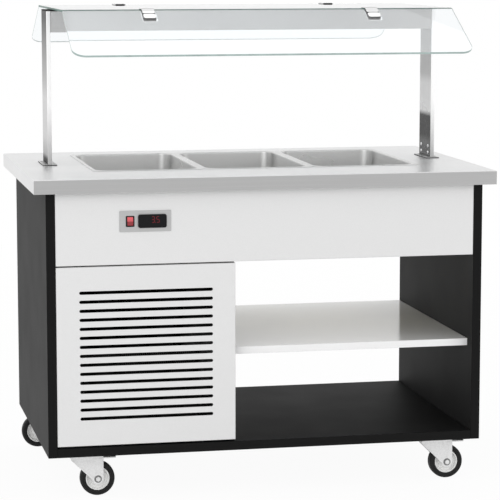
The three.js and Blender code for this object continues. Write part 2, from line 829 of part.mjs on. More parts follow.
const bayMiddleX = (innerLeft + dividerLeft) / 2;
const unit = addGroup(bar, bayMiddleX, 0, innerBottom + clearance);

// A hermetic shell with a domed top on a foot plate.
function compressorShell() {
  const wallTop = compressorHeight - compressorDome;
  const profile = [
    new THREE.Vector2(0, compressorFootHeight / 2),
    new THREE.Vector2(compressorRadius - compressorChamfer, compressorFootHeight / 2),
    new THREE.Vector2(compressorRadius, compressorFootHeight + compressorChamfer),
    new THREE.Vector2(compressorRadius, wallTop),
  ];
  for (let step = 1; step <= domeSteps; step += 1) {
    const angle = (step / domeSteps) * (Math.PI / 2);
    const radius = step === domeSteps ? 0 : compressorRadius * Math.cos(angle);
    profile.push(new THREE.Vector2(radius, wallTop + compressorDome * Math.sin(angle)));
  }
  const shell = new THREE.LatheGeometry(profile, roundSegments).rotateX(Math.PI / 2);
  return join(shell, centredBlock(compressorFoot, compressorFootDepth, 0, compressorFootHeight));
}

addMesh(unit, 'compressor', compressorShell(), enamelBlack, 0, carcassMiddleY + compressorFootDepth / 2);

// Condenser block: upright fins on both sides of a spine.
function finBlock() {
  const shape = new THREE.Shape();
  const pitch = (condenserWidth - finThickness) / (condenserFins - 1);
  const half = condenserDepth / 2;
  const spine = finSpine / 2;
  const points = [];
  for (let fin = 0; fin < condenserFins; fin += 1) {
    const x = -condenserWidth / 2 + fin * pitch;
    points.push([x, -half], [x + finThickness, -half]);
    if (fin < condenserFins - 1) points.push([x + finThickness, -spine], [x + pitch, -spine]);
  }
  const back = points.map(([x, y]) => [x, -y]).reverse();
  shape.setFromPoints([...points, ...back].map(([x, y]) => new THREE.Vector2(x, y)));
  return extrude(shape, condenserHeight);
}

const condenserY = carcassFront + trayDepth + condenserGap + condenserDepth / 2;
addMesh(unit, 'condenser', finBlock(), aluminium, 0, condenserY);

const fanLevel = condenserHeight / 2;
const fanPlane = condenserY + condenserDepth / 2 + fanGap;
const fan = addGroup(unit, 0, fanPlane, fanLevel);

// The motor stands on a bracket that straddles the fan and is fixed to the condenser's back.
function fanMotor() {
  const bracketY = fanHubDepth + fanGap;
  const back = -fanGap + clearance;
  const legs = [-1, 1].map((side) => block(
    [side * (bracketSpan / 2) - bracketSheet / 2, side * (bracketSpan / 2) + bracketSheet / 2],
    [back, bracketY + bracketSheet],
    [-bracketHeight / 2, bracketHeight / 2],
  ));
  const feet = [-1, 1].map((side) => block(
    [side * (bracketSpan / 2) - bracketFoot / 2, side * (bracketSpan / 2) + bracketFoot / 2],
    [back, back + bracketSheet],
    [-bracketHeight / 2, bracketHeight / 2],
  ));
  const crossBar = block(
    [-bracketSpan / 2, bracketSpan / 2],
    [bracketY, bracketY + bracketSheet],
    [-bracketHeight / 2, bracketHeight / 2],
  );
  const body = cylinderY(motorRadius, bracketY + bracketSheet / 2, bracketY + motorDepth);
  const shaft = cylinderY(shaftRadius, shaftEnd, bracketY + 1);
  return join(crossBar, body, shaft, ...legs, ...feet);
}

addMesh(fan, 'fan_motor', fanMotor(), enamelBlack);

function fanImpeller() {
  const hub = cylinderY(fanHubRadius, 0, fanHubDepth);
  const bore = cylinderY(boreRadius(shaftRadius), shaftEnd - clearance, fanHubDepth + 1);
  const inner = fanHubRadius / 2;
  const blades = [];
  for (let i = 0; i < fanBlades; i += 1) {
    const blade = block([inner, fanRadius], [-fanBladeSheet / 2, fanBladeSheet / 2],
      [-fanBladeWidth / 2, fanBladeWidth / 2]);
    blade.rotateX(THREE.MathUtils.degToRad(fanPitch));
    blade.rotateY((i / fanBlades) * 2 * Math.PI).translate(0, fanHubDepth / 2, 0);
    blades.push(blade);
  }
  return cut(join(hub, ...blades), bore);
}

addMesh(fan, 'fan_blade', fanImpeller(), aluminium);

// ---- Casters ------------------------------------------------------------------------------

// Each caster's origin is on its swivel axis, at the cabinet's underside, with its trail on +X.
const casterPlateTop = -clearance;
const raceTop = casterPlateTop - casterPlateThickness;
const raceBottom = raceTop - casterRaceHeight;
const crownTop = raceBottom - clearance;
const crownBottom = crownTop - forkSheet;
const axleZ = wheelRadius - carcassBase;
const pedalPinX = casterTrail + forkBehindAxle - pedalPinInset;
const pedalPinZ = crownBottom - pedalPinDrop;

function casterPlate() {
  const headTop = crownBottom - clearance;
  return join(
    centredBlock(casterPlateX, casterPlateY, raceTop, casterPlateTop),
    cylinderZ(casterRaceRadius, raceBottom, raceTop + 1),
    cylinderZ(kingpinRadius, headTop - 1, raceTop),
    cylinderZ(kingpinHead, headTop - kingpinHeadHeight, headTop),
  );
}

// A cheek, drawn in X and Z: a straight trailing edge and a slanted leading edge.
function cheekShape() {
  const shape = new THREE.Shape();
  const trailing = casterTrail + forkBehindAxle;
  shape.moveTo(-forkFront, crownTop);
  shape.lineTo(-forkFront, crownBottom - forkSheet);
  shape.lineTo(casterTrail - forkBehindAxle, axleZ);
  shape.absarc(casterTrail, axleZ, forkBehindAxle, Math.PI, 2 * Math.PI);
  shape.lineTo(trailing, crownTop);
  const pinHole = new THREE.Path();
  pinHole.absarc(pedalPinX, pedalPinZ, boreRadius(pedalPinRadius, smallSegments), 0, 2 * Math.PI);
  shape.holes.push(pinHole);
  return shape;
}

function casterFork() {
  const outer = forkInner / 2 + forkSheet;
  const crown = block([-forkFront, casterTrail + forkBehindAxle], [-outer, outer], [crownBottom, crownTop]);
  const cheeks = [-outer, forkInner / 2].map((y) => (
    extrudeAlongY(cheekShape(), y, forkSheet, smallSegments / 2)
  ));
  const axle = cylinderY(axleRadius, -outer - 1, outer + 1).translate(casterTrail, 0, axleZ);
  const heads = [-outer - axleHeadHeight, outer - 1].map((y) => (
    cylinderY(axleHeadRadius, y, y + axleHeadHeight + 1, hexSides).translate(casterTrail, 0, axleZ)
  ));
  const pinHole = cylinderZ(boreRadius(kingpinRadius), crownBottom - 1, crownTop + 1);
  return cut(join(crown, ...cheeks, axle, ...heads), pinHole);
}

// Turned profiles are drawn as radius and width, then laid with their axis along Y.
function turned(profile) {
  const points = profile.map(([radius, width]) => new THREE.Vector2(radius, width));
  return new THREE.LatheGeometry([...points, points[0]], roundSegments);
}

function wheelRim() {
  const bore = boreRadius(axleRadius);
  const hub = axleRadius + hubWall;
  const hubHalf = forkInner / 2 - hubEndPlay;
  const webHalf = webThickness / 2;
  const rimHalf = wheelWidth / 2 - rimInset;
  const rimInner = rimRadius - rimWall;
  return turned([
    [bore, -hubHalf],
    [hub, -hubHalf],
    [hub + 2, -webHalf],
    [rimInner - 2, -webHalf],
    [rimInner, -rimHalf],
    [rimRadius, -rimHalf],
    [rimRadius, rimHalf],
    [rimInner, rimHalf],
    [rimInner - 2, webHalf],
    [hub + 2, webHalf],
    [hub, hubHalf],
    [bore, hubHalf],
  ]);
}

function wheelTyre() {
  const half = wheelWidth / 2;
  const inner = boreRadius(rimRadius);
  const shoulder = tyreShoulder;
  return turned([
    [inner, -half + shoulder / 2],
    [inner + 2, -half],
    [wheelRadius - shoulder, -half],
    [wheelRadius - 1, -half + shoulder],
    [wheelRadius, -half + 2 * shoulder],
    [wheelRadius, half - 2 * shoulder],
    [wheelRadius - 1, half - shoulder],
    [wheelRadius - shoulder, half],
    [inner + 2, half],
    [inner, half - shoulder / 2],
  ]);
}

// The brake pedal turns on a pin through both cheeks and is trodden down at its outer end.
function brakePedal() {
  const half = forkInner / 2;
  const eye = cylinderY(pedalEyeRadius, -half + clearance, half - clearance, smallSegments);
  const pin = cylinderY(pedalPinRadius, -half - forkSheet, half + forkSheet, smallSegments);
  const arm = block([0, pedalLength], [-pedalTread / 2, pedalTread / 2],
    [pedalEyeRadius - pedalThickness, pedalEyeRadius]);
  const tread = block([pedalLength - pedalPad, pedalLength], [-pedalTread / 2, pedalTread / 2],
    [pedalEyeRadius - 1, pedalEyeRadius + pedalThickness / 2]);
  return join(eye, pin, arm, tread);
}

const frontCasterX = carcassLength / 2 - frontCasterInsetX;
const frontCasterY = carcassFront + frontCasterInsetY;
const rearCasterX = carcassLength / 2 - rearCasterInsetX;
const rearCasterY = carcassBack - rearCasterInsetY;

// [label, x, y, direction of the trail in degrees, has a brake]
const casters = [
  ['front_left', -frontCasterX, frontCasterY, 0, true],
  ['front_right', frontCasterX, frontCasterY, 0, true],
  ['rear_left', -rearCasterX, rearCasterY, 180, false],
  ['rear_right', rearCasterX, rearCasterY, 180, false],
];

for (const [label, x, y, heading, braked] of casters) {
  addMesh(bar, `caster_plate_${label}`, casterPlate(), zincSteel, x, y, carcassBase);
  const caster = addGroup(bar, x, y, carcassBase);
  caster.rotation.z = THREE.MathUtils.degToRad(heading);
  addMesh(caster, `caster_fork_${label}`, casterFork(), zincSteel);
  addMesh(caster, `wheel_rim_${label}`, wheelRim(), plasticGrey, casterTrail, 0, axleZ);
  addMesh(caster, `wheel_tyre_${label}`, wheelTyre(), rubberBlack, casterTrail, 0, axleZ);
  if (braked) addMesh(caster, `brake_pedal_${label}`, brakePedal(), plasticBlack, pedalPinX, 0, pedalPinZ);
}

export default bar;
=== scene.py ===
"""Mobile refrigerated salad bar.

Dresses the packed model with its boards, folded sheets, pans, glass, controls and casters, and
sets up a plain studio round it. Everything is in metres: +X to the right, +Y to the back, +Z up.
"""

import json
import math

import bmesh
import bpy
from bpy.props import FloatProperty, FloatVectorProperty, IntProperty, PointerProperty
from mathutils import Matrix, Vector

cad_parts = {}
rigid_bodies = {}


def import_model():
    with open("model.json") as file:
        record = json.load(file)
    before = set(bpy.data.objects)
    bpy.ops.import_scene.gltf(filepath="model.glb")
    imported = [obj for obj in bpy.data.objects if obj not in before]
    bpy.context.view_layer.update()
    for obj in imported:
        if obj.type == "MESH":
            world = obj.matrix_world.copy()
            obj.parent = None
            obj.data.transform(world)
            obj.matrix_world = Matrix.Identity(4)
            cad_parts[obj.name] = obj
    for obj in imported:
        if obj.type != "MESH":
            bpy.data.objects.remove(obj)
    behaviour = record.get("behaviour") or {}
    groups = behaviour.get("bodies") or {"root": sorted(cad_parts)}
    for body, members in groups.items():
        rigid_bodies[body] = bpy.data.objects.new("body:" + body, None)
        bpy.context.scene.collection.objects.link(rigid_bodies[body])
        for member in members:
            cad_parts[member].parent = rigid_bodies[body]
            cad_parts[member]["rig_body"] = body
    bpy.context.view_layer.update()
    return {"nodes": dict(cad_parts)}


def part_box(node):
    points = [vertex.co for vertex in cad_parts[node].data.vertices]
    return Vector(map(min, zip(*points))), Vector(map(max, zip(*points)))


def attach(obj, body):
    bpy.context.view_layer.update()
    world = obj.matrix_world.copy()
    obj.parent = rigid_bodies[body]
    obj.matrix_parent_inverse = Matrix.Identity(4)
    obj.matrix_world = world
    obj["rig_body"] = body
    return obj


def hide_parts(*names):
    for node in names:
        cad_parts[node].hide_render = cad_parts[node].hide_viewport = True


bl_info = {
    "name": "Mobile salad bar",
    "version": (1, 0, 0),
    "blender": (4, 5, 0),
    "location": "View3D > Sidebar > Salad bar",
    "description": "Builds a mobile refrigerated salad bar round its packed model",
    "category": "Object",
}

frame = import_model()
nodes = frame["nodes"]

FULL_TURN = 2 * math.pi
QUARTER = math.pi / 2

# Each turns a drawing in u and v, with w outwards, to lie on that side of the object.
TOP = Matrix.Identity(4)
FRONT = Matrix.Rotation(QUARTER, 4, "X")
REAR = Matrix.Rotation(math.pi, 4, "Z") @ FRONT
LEFT = Matrix.Rotation(-QUARTER, 4, "Z") @ FRONT
RIGHT = Matrix.Rotation(QUARTER, 4, "Z") @ FRONT
UNDER = Matrix.Rotation(math.pi, 4, "X")

SIDES = (-1, 1)
CORNERS = ((-1, -1), (-1, 1), (1, -1), (1, 1))
MERGE = 1e-6        # vertices closer than this are one

# Width and height of the holes that the controls and the inlet go through.
SWITCH_HOLE = (0.0203, 0.0292)
CONTROLLER_HOLE = (0.0706, 0.0286)
INLET_HOLE = (0.0506, 0.0306)


# ---- Sizes and colours that can be changed ---------------------------------------------------


def length(name, description, metres):
    return FloatProperty(name=name, description=description, default=metres, min=0.0,
                         precision=5, subtype="DISTANCE", unit="LENGTH")


def number(name, description, value, most=1.0):
    return FloatProperty(name=name, description=description, default=value, min=0.0, max=most)


def colour(name, description, red, green, blue):
    return FloatVectorProperty(name=name, description=description, default=(red, green, blue),
                               size=3, min=0.0, max=1.0, subtype="COLOR")


class SALADBAR_PG_stage(bpy.types.PropertyGroup):
    """Camera, lamps and floor"""
    camera_place: FloatVectorProperty(
        name="Camera place", description="Where the camera stands", size=3,
        default=(-1.3485, -6.5676, 1.5525), subtype="TRANSLATION", unit="LENGTH")
    camera_yaw: FloatProperty(
        name="Camera yaw", description="How far the camera looks to the right",
        default=0.2086, subtype="ANGLE", unit="ROTATION")
    camera_pitch: FloatProperty(
        name="Camera pitch", description="How far the camera looks down",
        default=0.1346, subtype="ANGLE", unit="ROTATION")
    camera_lens: FloatProperty(
        name="Lens", description="Focal length on a 36 mm sensor, in millimetres",
        default=159.8, min=1.0)
    floor_size: length("Floor size", "Side of the square floor", 60.0)
    floor_colour: colour("Floor colour", "Pale floor", 0.92, 0.92, 0.92)
    floor_glow: number("Floor glow", "How much of the floor's look is plain white", 0.95)
    floor_fade: length("Floor fade", "Distance over which the floor turns plain white", 5.0)
    ambient: number("Ambient light", "Strength of the light from all round", 0.84)
    key_power: number("Key lamp", "Power of the lamp at the upper left, in watts", 34.0, 1000.0)
    fill_power: number("Fill lamp", "Power of the lamp at the right, in watts", 12.0, 1000.0)
    top_power: number("Top lamp", "Power of the lamp overhead, in watts", 12.0, 1000.0)


class SALADBAR_PG_colours(bpy.types.PropertyGroup):
    """Colours of the finishes"""
    board_black: colour("Black board", "Side, bottom and divider boards", 0.013, 0.013, 0.013)
    # Painted shade: the bottom board, in the shaded bay, takes a darker copy of the black board.
    bay_floor: colour("Bay floor", "Upper face of the bottom board", 0.007, 0.007, 0.007)
    board_edge: colour("Board edge", "Black edge bands of the boards", 0.005, 0.005, 0.005)
    panel_light: colour("Light panel", "Aprons, louvre panels and shelf", 0.80, 0.80, 0.80)
    # Painted shade: the louvre panels' inner faces are near black so that the slots look dark.
    panel_inside: colour("Panel inside", "Dark back of the louvre panels", 0.010, 0.010, 0.010)
    shelf_light: colour("Light shelf", "Shelf in the open bay", 0.95, 0.95, 0.95)
    worktop_steel: colour("Worktop steel", "Brushed worktop", 0.76, 0.76, 0.76)
    # Painted shade: the turned-down edges take a darker copy of the worktop steel, for their
    # darker reflection.
    worktop_edge: colour("Worktop edge", "The worktop's turned-down edges", 0.45, 0.45, 0.45)
    # The posts and the beam grade these colours into painted reflections; the posts' narrow faces
    # take a lighter copy of the steel, a painted highlight.
    post_side: colour("Post side", "Broad faces of the posts", 0.50, 0.50, 0.50)
    post_edge: colour("Post edge", "Narrow faces of the posts", 0.80, 0.80, 0.80)
    beam_steel: colour("Beam steel", "Light beam", 0.52, 0.52, 0.52)
    pan_steel: colour("Pan steel", "Food pans and their bars", 0.66, 0.66, 0.655)
    plate_steel: colour("Plate steel", "Control plate", 0.50, 0.50, 0.50)
    chrome: colour("Chrome", "Glass clamps and screws", 0.52, 0.52, 0.53)
    zinc: colour("Zinc", "Caster plates, forks and pedals", 0.84, 0.84, 0.84)
    bolt_steel: colour("Bolt steel", "Axle nuts and bolts", 0.20, 0.20, 0.20)
    glass: colour("Glass", "Tint of the panes", 0.945, 0.968, 0.980)
    # One cut edge in two copies: the darker one is painted shade, on the top pane's edges and the
    # sloped panes' upper edges.
    top_edge: colour("Top pane edge", "Cut edges of the top pane", 0.035, 0.13, 0.10)
    wing_edge: colour("Sloped pane edge", "Cut edges of the sloped panes", 0.40, 0.50, 0.48)
    plastic_black: colour("Black plastic", "Switch frame, inlet and treads", 0.012, 0.012, 0.012)
    display_black: colour("Display", "The controller's glossy face", 0.006, 0.006, 0.007)
    display_red: colour("Digits", "The controller's digits", 0.12, 0.015, 0.019)
    # Painted light on the rocker: a painted highlight on its upper part and painted shade on its
    # lower part.
    rocker_red: colour("Rocker", "Upper part of the switch's red rocker", 0.80, 0.10, 0.12)
    rocker_painted_shade: colour("Rocker foot", "Lower part of the red rocker", 0.27, 0.003, 0.008)
    wheel_grey: colour("Wheel centre", "Light plastic wheel centres", 0.95, 0.95, 0.94)
    tyre_dark: colour("Tyre", "Rubber tyres", 0.016, 0.016, 0.016)
    diffuser: colour("Diffuser", "Opal light cover", 0.86, 0.86, 0.84)
    foam: colour("Foam", "Insulation of the well", 0.78, 0.70, 0.48)
    copper: colour("Copper", "Cooling coil", 0.55, 0.20, 0.10)
    enamel: colour("Enamel", "Compressor and fan motor", 0.012, 0.012, 0.013)
    # The condenser is black partly as a real coating and partly as painted shade that keeps the
    # slots dark.
    fin_black: colour("Fins", "Black-coated condenser fins", 0.012, 0.012, 0.012)
    aluminium: colour("Aluminium", "Fan blades", 0.55, 0.56, 0.57)


class SALADBAR_PG_cabinet(bpy.types.PropertyGroup):
    """Boards and folded panels"""
    board_edge: length("Board edge", "Easing of the boards' edges", 0.0009)
    sheet: length("Sheet", "Thickness of the folded panels", 0.002)
    bend: length("Bend", "Outer radius of the panels' folds", 0.0026)
    slot_count: IntProperty(name="Slots", description="Slots in the front louvre panel",
                            default=15, min=1)
    rear_slot_count: IntProperty(name="Rear slots", description="Slots in the rear louvre panel",
                                 default=4, min=1)
    slot_length: length("Slot length", "Length of a slot with its round ends", 0.382)
    slot_height: length("Slot height", "Height of a slot", 0.0093)
    slot_pitch: length("Slot pitch", "From one slot to the next", 0.0257)
    lowest_slot: length("Lowest slot", "Height of the lowest slot above the floor", 0.237)
    pin_radius: length("Shelf pin", "Radius of the pins under the shelf", 0.003)
    pin_length: length("Shelf pin length", "How far a shelf pin stands out", 0.011)


class SALADBAR_PG_well(bpy.types.PropertyGroup):
    """Worktop, well and pans"""
    worktop_sheet: length("Worktop sheet", "Thickness of the worktop", 0.002)
    worktop_bend: length("Worktop bend", "Outer radius of the worktop's edges", 0.0028)
    opening_x: length("Opening length", "Length of the worktop's opening", 0.955)
    opening_y: length("Opening depth", "Depth of the worktop's opening", 0.510)
    opening_corner: length("Opening corner", "Corner radius of the opening", 0.004)
    pan_sheet: length("Pan sheet", "Thickness of a pan's sheet", 0.0011)
    pan_rim: length("Pan rim", "Width of a pan's flat rim", 0.012)
    pan_corner: length("Pan corner", "Corner radius of a pan's walls", 0.036)
    pan_rim_corner: length("Rim corner", "Corner radius of a pan's rim", 0.014)
    pan_draft: length("Pan draft", "How far each wall leans in", 0.008)
    pan_floor: length("Pan floor radius", "Radius between a pan's walls and floor", 0.014)


class SALADBAR_PG_guard(bpy.types.PropertyGroup):
    """Posts, beam, glass and clamps"""
    post_wall: length("Post wall", "Wall of the flat posts", 0.0015)
    post_corner: length("Post corner", "Outer corner radius of a post", 0.0022)
    gasket: length("Gasket", "Black gasket under a post's foot plate", 0.0019)
    screw_radius: length("Screw head", "Radius of the posts' screw heads", 0.0052)
    glass_polish: length("Glass polish", "Easing of the panes' edges", 0.0008)
    wing_corner: length("Wing corner", "Corner radius of the sloped panes", 0.038)
    joint: length("Joint", "Gap between the top pane and a sloped pane", 0.006)
    wing_reach: length("Wing reach", "Length of a sloped pane down its slope", 0.25850338)
    wing_angle: FloatProperty(name="Wing angle", description="Slope of the lower panes",
                              default=0.47404, subtype="ANGLE", unit="ROTATION")
    clamp_plate: length("Clamp plate", "Thickness of a clamp's plates", 0.003)
    clamp_corner: length("Clamp corner", "Corner radius of a clamp's plates", 0.007)
    clamp_top: length("Clamp on top", "Length of a clamp's arm on the top pane", 0.045)
    clamp_wing: length("Clamp on wing", "Length of a clamp's arm on the sloped pane", 0.060)
    clamp_split: length("Clamp split", "From the bend to the groove in a clamp's face", 0.023)
    clamp_groove: length("Clamp groove", "Width of the groove in a clamp's face", 0.004)
    clamp_leaf: length("Clamp leaf", "From the bend to the tip of a clamp's face", 0.051)


class SALADBAR_PG_controls(bpy.types.PropertyGroup):
    """Switch, controller and power inlet"""
    plate_edge: length("Plate edge", "Easing of the control plate's edge", 0.0004)
    bezel_corner: length("Switch corner", "Corner radius of the switch's frame", 0.0022)
    face_corner: length("Display corner", "Corner radius of the controller", 0.006)
    window_inset: length("Window inset", "From the controller's edge to its window", 0.0032)
    digit_height: length("Digit height", "Height of the display's digits", 0.0185)
    digit_width: length("Digit width", "Width of the display's digits", 0.0095)
    digit_stroke: length("Digit stroke", "Width of a digit's strokes", 0.0022)


class SALADBAR_PG_casters(bpy.types.PropertyGroup):
    """Casters"""
    cheek_sheet: length("Fork sheet", "Thickness of a fork's cheeks", 0.003)
    front_reach: length("Fork front", "From the swivel axis to the fork's leading edge", 0.046)
    behind_axle: length("Behind axle", "From the axle to the fork's trailing edge", 0.016)
    trail: length("Trail", "From the swivel axis to the axle", 0.032)
    rim_radius: length("Wheel centre radius", "Radius of the plastic centre", 0.0345)
    tyre_shoulder: length("Tyre shoulder", "Rounding of the tyre's shoulders", 0.006)
    axle_head: length("Axle head", "Radius of the axle's hexagon head", 0.009)
    steps: IntProperty(name="Steps", description="Facets round a wheel", default=72, min=12)


def settings(group):
    return getattr(bpy.context.scene, "saladbar_" + group)


# ---- Finishes --------------------------------------------------------------------------------

# How often the grain repeats per metre along X, Y and Z, for steel that is brushed one way.
ALONG_X = (3, 1100, 1100)
ALONG_Y = (1100, 3, 1100)
ALONG_Z = (1100, 1100, 3)
BROAD = 6                           # the same for the slow change in roughness
FIELD_LOW, FIELD_HIGH = 0.3, 0.7    # a noise keeps almost wholly between these
BRUSHED_RELIEF = 0.000005
SPECULAR = "Specular IOR Level"

# name: colour, roughness, metallic, grain, shade, relief, specular level
PLAIN_FINISHES = {
    "black board": ("board_black", 0.58, 0, 700, 0.25, 0.00003, 0.1),
    # bay floor is a darker copy of black board: painted shade on the bottom board.
    "bay floor": ("bay_floor", 0.6, 0, 700, 0.25, 0.00003, 0.08),
    "black edge": ("board_edge", 0.5, 0, 700, 0.25, 0.00002, 0.12),
    "light panel": ("panel_light", 0.36, 0, 420, 0.014, 0.00001, 0.5),
    "light board": ("shelf_light", 0.14, 0, 420, 0.014, 0.00001, 0.5),
    # panel inside: painted shade on the louvre panels' inner faces, behind the slots.
    "panel inside": ("panel_inside", 0.8, 0, 420, 0.1, 0.00001, 0.1),
    "worktop steel": ("worktop_steel", 0.34, 0.75, ALONG_X, 0.03, 0.000004, 0.5),
    # worktop edge is a darker copy of worktop steel: painted shade on the turned-down edges.
    "worktop edge": ("worktop_edge", 0.36, 0.6, ALONG_X, 0.04, 0.000004, 0.5),
    "pan steel": ("pan_steel", 0.3, 0.85, ALONG_Y, 0.05, 0.000004, 0.5),
    "plate steel": ("plate_steel", 0.36, 0.7, ALONG_X, 0.07, 0.000004, 0.5),
    "chrome": ("chrome", 0.2, 1, 160, 0.02, 0, 0.5),
    "zinc": ("zinc", 0.38, 0.4, 260, 0.08, 0.00001, 0.5),
    "bolt steel": ("bolt_steel", 0.35, 0.7, 300, 0.15, 0.00001, 0.5),
    # top pane edge is a darker copy of sloped pane edge: painted shade.
    "top pane edge": ("top_edge", 0.3, 0, 40, 0.12, 0, 0.2),
    "sloped pane edge": ("wing_edge", 0.15, 0, 40, 0.12, 0, 0.5),
    "black plastic": ("plastic_black", 0.45, 0, 1500, 0.2, 0.00002, 0.2),
    "display black": ("display_black", 0.12, 0, 200, 0.1, 0, 0.15),
    "wheel grey": ("wheel_grey", 0.45, 0, 700, 0.03, 0.00001, 0.4),
    "tyre": ("tyre_dark", 0.6, 0, 900, 0.25, 0.00005, 0.2),
    "rubber": ("plastic_black", 0.7, 0, 900, 0.2, 0.00003, 0.15),
    "diffuser": ("diffuser", 0.5, 0, 250, 0.02, 0, 0.5),
    "foam": ("foam", 0.9, 0, 350, 0.16, 0.0003, 0.3),
    "copper": ("copper", 0.3, 0.9, 120, 0.18, 0, 0.5),
    "enamel": ("enamel", 0.32, 0, 500, 0.2, 0.00002, 0.4),
    # fin black: partly a real coating, partly painted shade behind the slots.
    "fin black": ("fin_black", 0.5, 0, 500, 0.2, 0.00001, 0.2),
    "aluminium": ("aluminium", 0.35, 0.9, ALONG_Z, 0.08, BRUSHED_RELIEF, 0.5),
}

# Painted light: these finishes grade a painted reflection and painted shade along a part.
# name: colour, the node and axis that the painted tone grades along, roughness, metallic, grain,
# shade, specular level, and the painted tone as (share of the way along, share of the colour)
PAINTED_LIGHT_FINISHES = {
    # Painted reflection on the left post: dark at the foot, lightest low down, darker towards the
    # top.
    "left post steel": (
        "post_side", "guard_post_left", "Z", 0.3, 0.45, ALONG_Z, 0.07, 0.0,
        ((0, 0), (0.03, 0), (0.06, 0.9), (0.12, 1.1), (0.17, 1.32), (0.43, 1.35), (0.54, 1),
         (0.75, 0.6), (0.96, 0.14), (1, 0.14))),
    # Painted reflection on the right post: a dark band low down, light above it.
    "right post steel": (
        "post_side", "guard_post_left", "Z", 0.3, 0.5, ALONG_Z, 0.07, 0.0,
        ((0, 0.25), (0.1, 0.25), (0.14, 0.07), (0.275, 0.07), (0.31, 1.46), (0.5, 1.42),
         (0.56, 1.05), (1, 1))),
    # Painted highlight on the posts' narrow faces, darker towards the foot.
    "post edge": (
        "post_edge", "guard_post_left", "Z", 0.3, 0.8, ALONG_Z, 0.07, 0.5,
        ((0, 0.6), (0.2, 0.92), (0.4, 1.22), (0.8, 1.25), (1, 1.1))),
    # Painted reflection along the beam, lightest near its left end and darker to the right.
    "beam steel": (
        "beam_steel", "light_beam", "X", 0.32, 0.8, ALONG_X, 0.05, 0.5,
        ((0, 0.98), (0.03, 1.0), (0.06, 1.2), (0.5, 1.07), (1, 0.9))),
}


def add_node(tree, kind, inputs, **options):
    """Adds a shader node. An input is a value, or the socket that is linked to it."""
    node = tree.nodes.new("ShaderNode" + kind)
    for option, value in options.items():
        setattr(node, option, value)
    for key, value in inputs.items():
        if isinstance(value, bpy.types.NodeSocket):
            tree.links.new(value, node.inputs[key])
        else:
            node.inputs[key].default_value = value
    return node


def new_material(name, tone, roughness, metallic, sockets):
    """A material whose shader has plain values, with its tree and its shader."""
    material = bpy.data.materials.new(name)
    material.use_nodes = True
    principled = material.node_tree.nodes["Principled BSDF"]
    plain = {"Base Color": (*tone, 1.0), "Roughness": roughness, "Metallic": metallic, **sockets}
    for socket, value in plain.items():
        principled.inputs[socket].default_value = value
    return material, material.node_tree, principled


def noise_field(tree, stretch, detail):
    """A noise on the object's own coordinates, stretched per metre along X, Y and Z."""
    if not isinstance(stretch, tuple):
        stretch = (stretch,) * 3
    place = add_node(tree, "TexCoord", {}).outputs["Object"]
    mapping = add_node(tree, "Mapping", {"Vector": place, "Scale": stretch})
    noise = add_node(tree, "TexNoise",
                     {"Vector": mapping.outputs["Vector"], "Scale": 1.0, "Detail": detail})
    return noise.outputs[0]


def remapped(tree, value, to_low, to_high, low=FIELD_LOW, high=FIELD_HIGH):
    """The value with its range from low to high stretched to another range."""
    return add_node(tree, "MapRange", {"Value": value, "From Min": low, "From Max": high,
                                       "To Min": to_low, "To Max": to_high}).outputs[0]


def ramp_through(tree, value, stops):
    """The colour at the value's place among stops of (position, colour)."""
    ramp = add_node(tree, "ValToRGB", {0: value})
    while len(ramp.color_ramp.elements) < len(stops):
        ramp.color_ramp.elements.new(0.5)
    for element, (position, tone) in zip(ramp.color_ramp.elements, stops):
        element.position, element.color = position, (*tone, 1.0)
    return ramp.outputs[0]


def times(tone, factor):
    return tuple(min(value * factor, 1.0) for value in tone)


def roughen(tree, principled, roughness, spread, stretch=BROAD):
    """Varies the roughness slowly over the surface."""
    field = noise_field(tree, stretch, 2.0)
    result = remapped(tree, field, max(roughness - spread, 0.0), roughness + spread)
    tree.links.new(result, principled.inputs["Roughness"])


def colour_and_emboss(tree, principled, tone, field, relief):
    """Links a colour, and a relief where there is one, to the shader."""
    tree.links.new(tone, principled.inputs["Base Color"])
    if relief:
        bump = add_node(tree, "Bump", {"Height": field, "Strength": 1.0, "Distance": relief})
        tree.links.new(bump.outputs[0], principled.inputs["Normal"])


def surface(name, tone, roughness, metallic=0.0, grain=900, shade=0.06, spread=0.05, relief=0.0,
            **sockets):
    """A finish with a fine grain in its colour and relief and a broad change in its roughness."""
    material, tree, principled = new_material(name, tone, roughness, metallic, sockets)
    fine = noise_field(tree, grain, 3.0)
    tint = ramp_through(tree, fine, ((FIELD_LOW, times(tone, 1 - shade)),
                                     (FIELD_HIGH, times(tone, 1 + shade))))
    colour_and_emboss(tree, principled, tint, fine, relief)
    roughen(tree, principled, roughness, spread)
    return material


def painted_light_grade(name, stops, node, axis, roughness, metallic, grain, shade, relief=0.0, **sockets):
    """A finish with painted light: its tone, painted reflections and painted shade, follows an
    axis from one end of a node to the other, under a grain.
    """
    material, tree, principled = new_material(name, stops[0][1], roughness, metallic, sockets)
    low, high = (corner["XYZ".index(axis)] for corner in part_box(node))
    place = add_node(tree, "TexCoord", {}).outputs["Object"]
    split = add_node(tree, "SeparateXYZ", {0: place})
    tone = ramp_through(tree, remapped(tree, split.outputs[axis], 0.0, 1.0, low, high), stops)
    fine = noise_field(tree, grain, 3.0)
    streak = remapped(tree, fine, 1 - shade, 1 + shade)
    tint = add_node(tree, "VectorMath", {0: tone, "Scale": streak}, operation="SCALE")
    colour_and_emboss(tree, principled, tint.outputs[0], fine, relief)
    roughen(tree, principled, roughness, 0.04)
    return material


def glass_pane(name, tone):
    """Clear glass that lets the lamps' light through."""
    material, tree, principled = new_material(
        name, tone, 0.01, 0.0, {"Transmission Weight": 1.0, "IOR": 1.5})
    roughen(tree, principled, 0.008, 0.006, 3)
    path = add_node(tree, "LightPath", {})
    clear = add_node(tree, "BsdfTransparent", {"Color": (*tone, 1.0)})
    mix = add_node(tree, "MixShader", {0: path.outputs["Is Shadow Ray"],
                                       1: principled.outputs[0], 2: clear.outputs[0]})
    tree.links.new(mix.outputs[0], tree.nodes["Material Output"].inputs["Surface"])
    return material


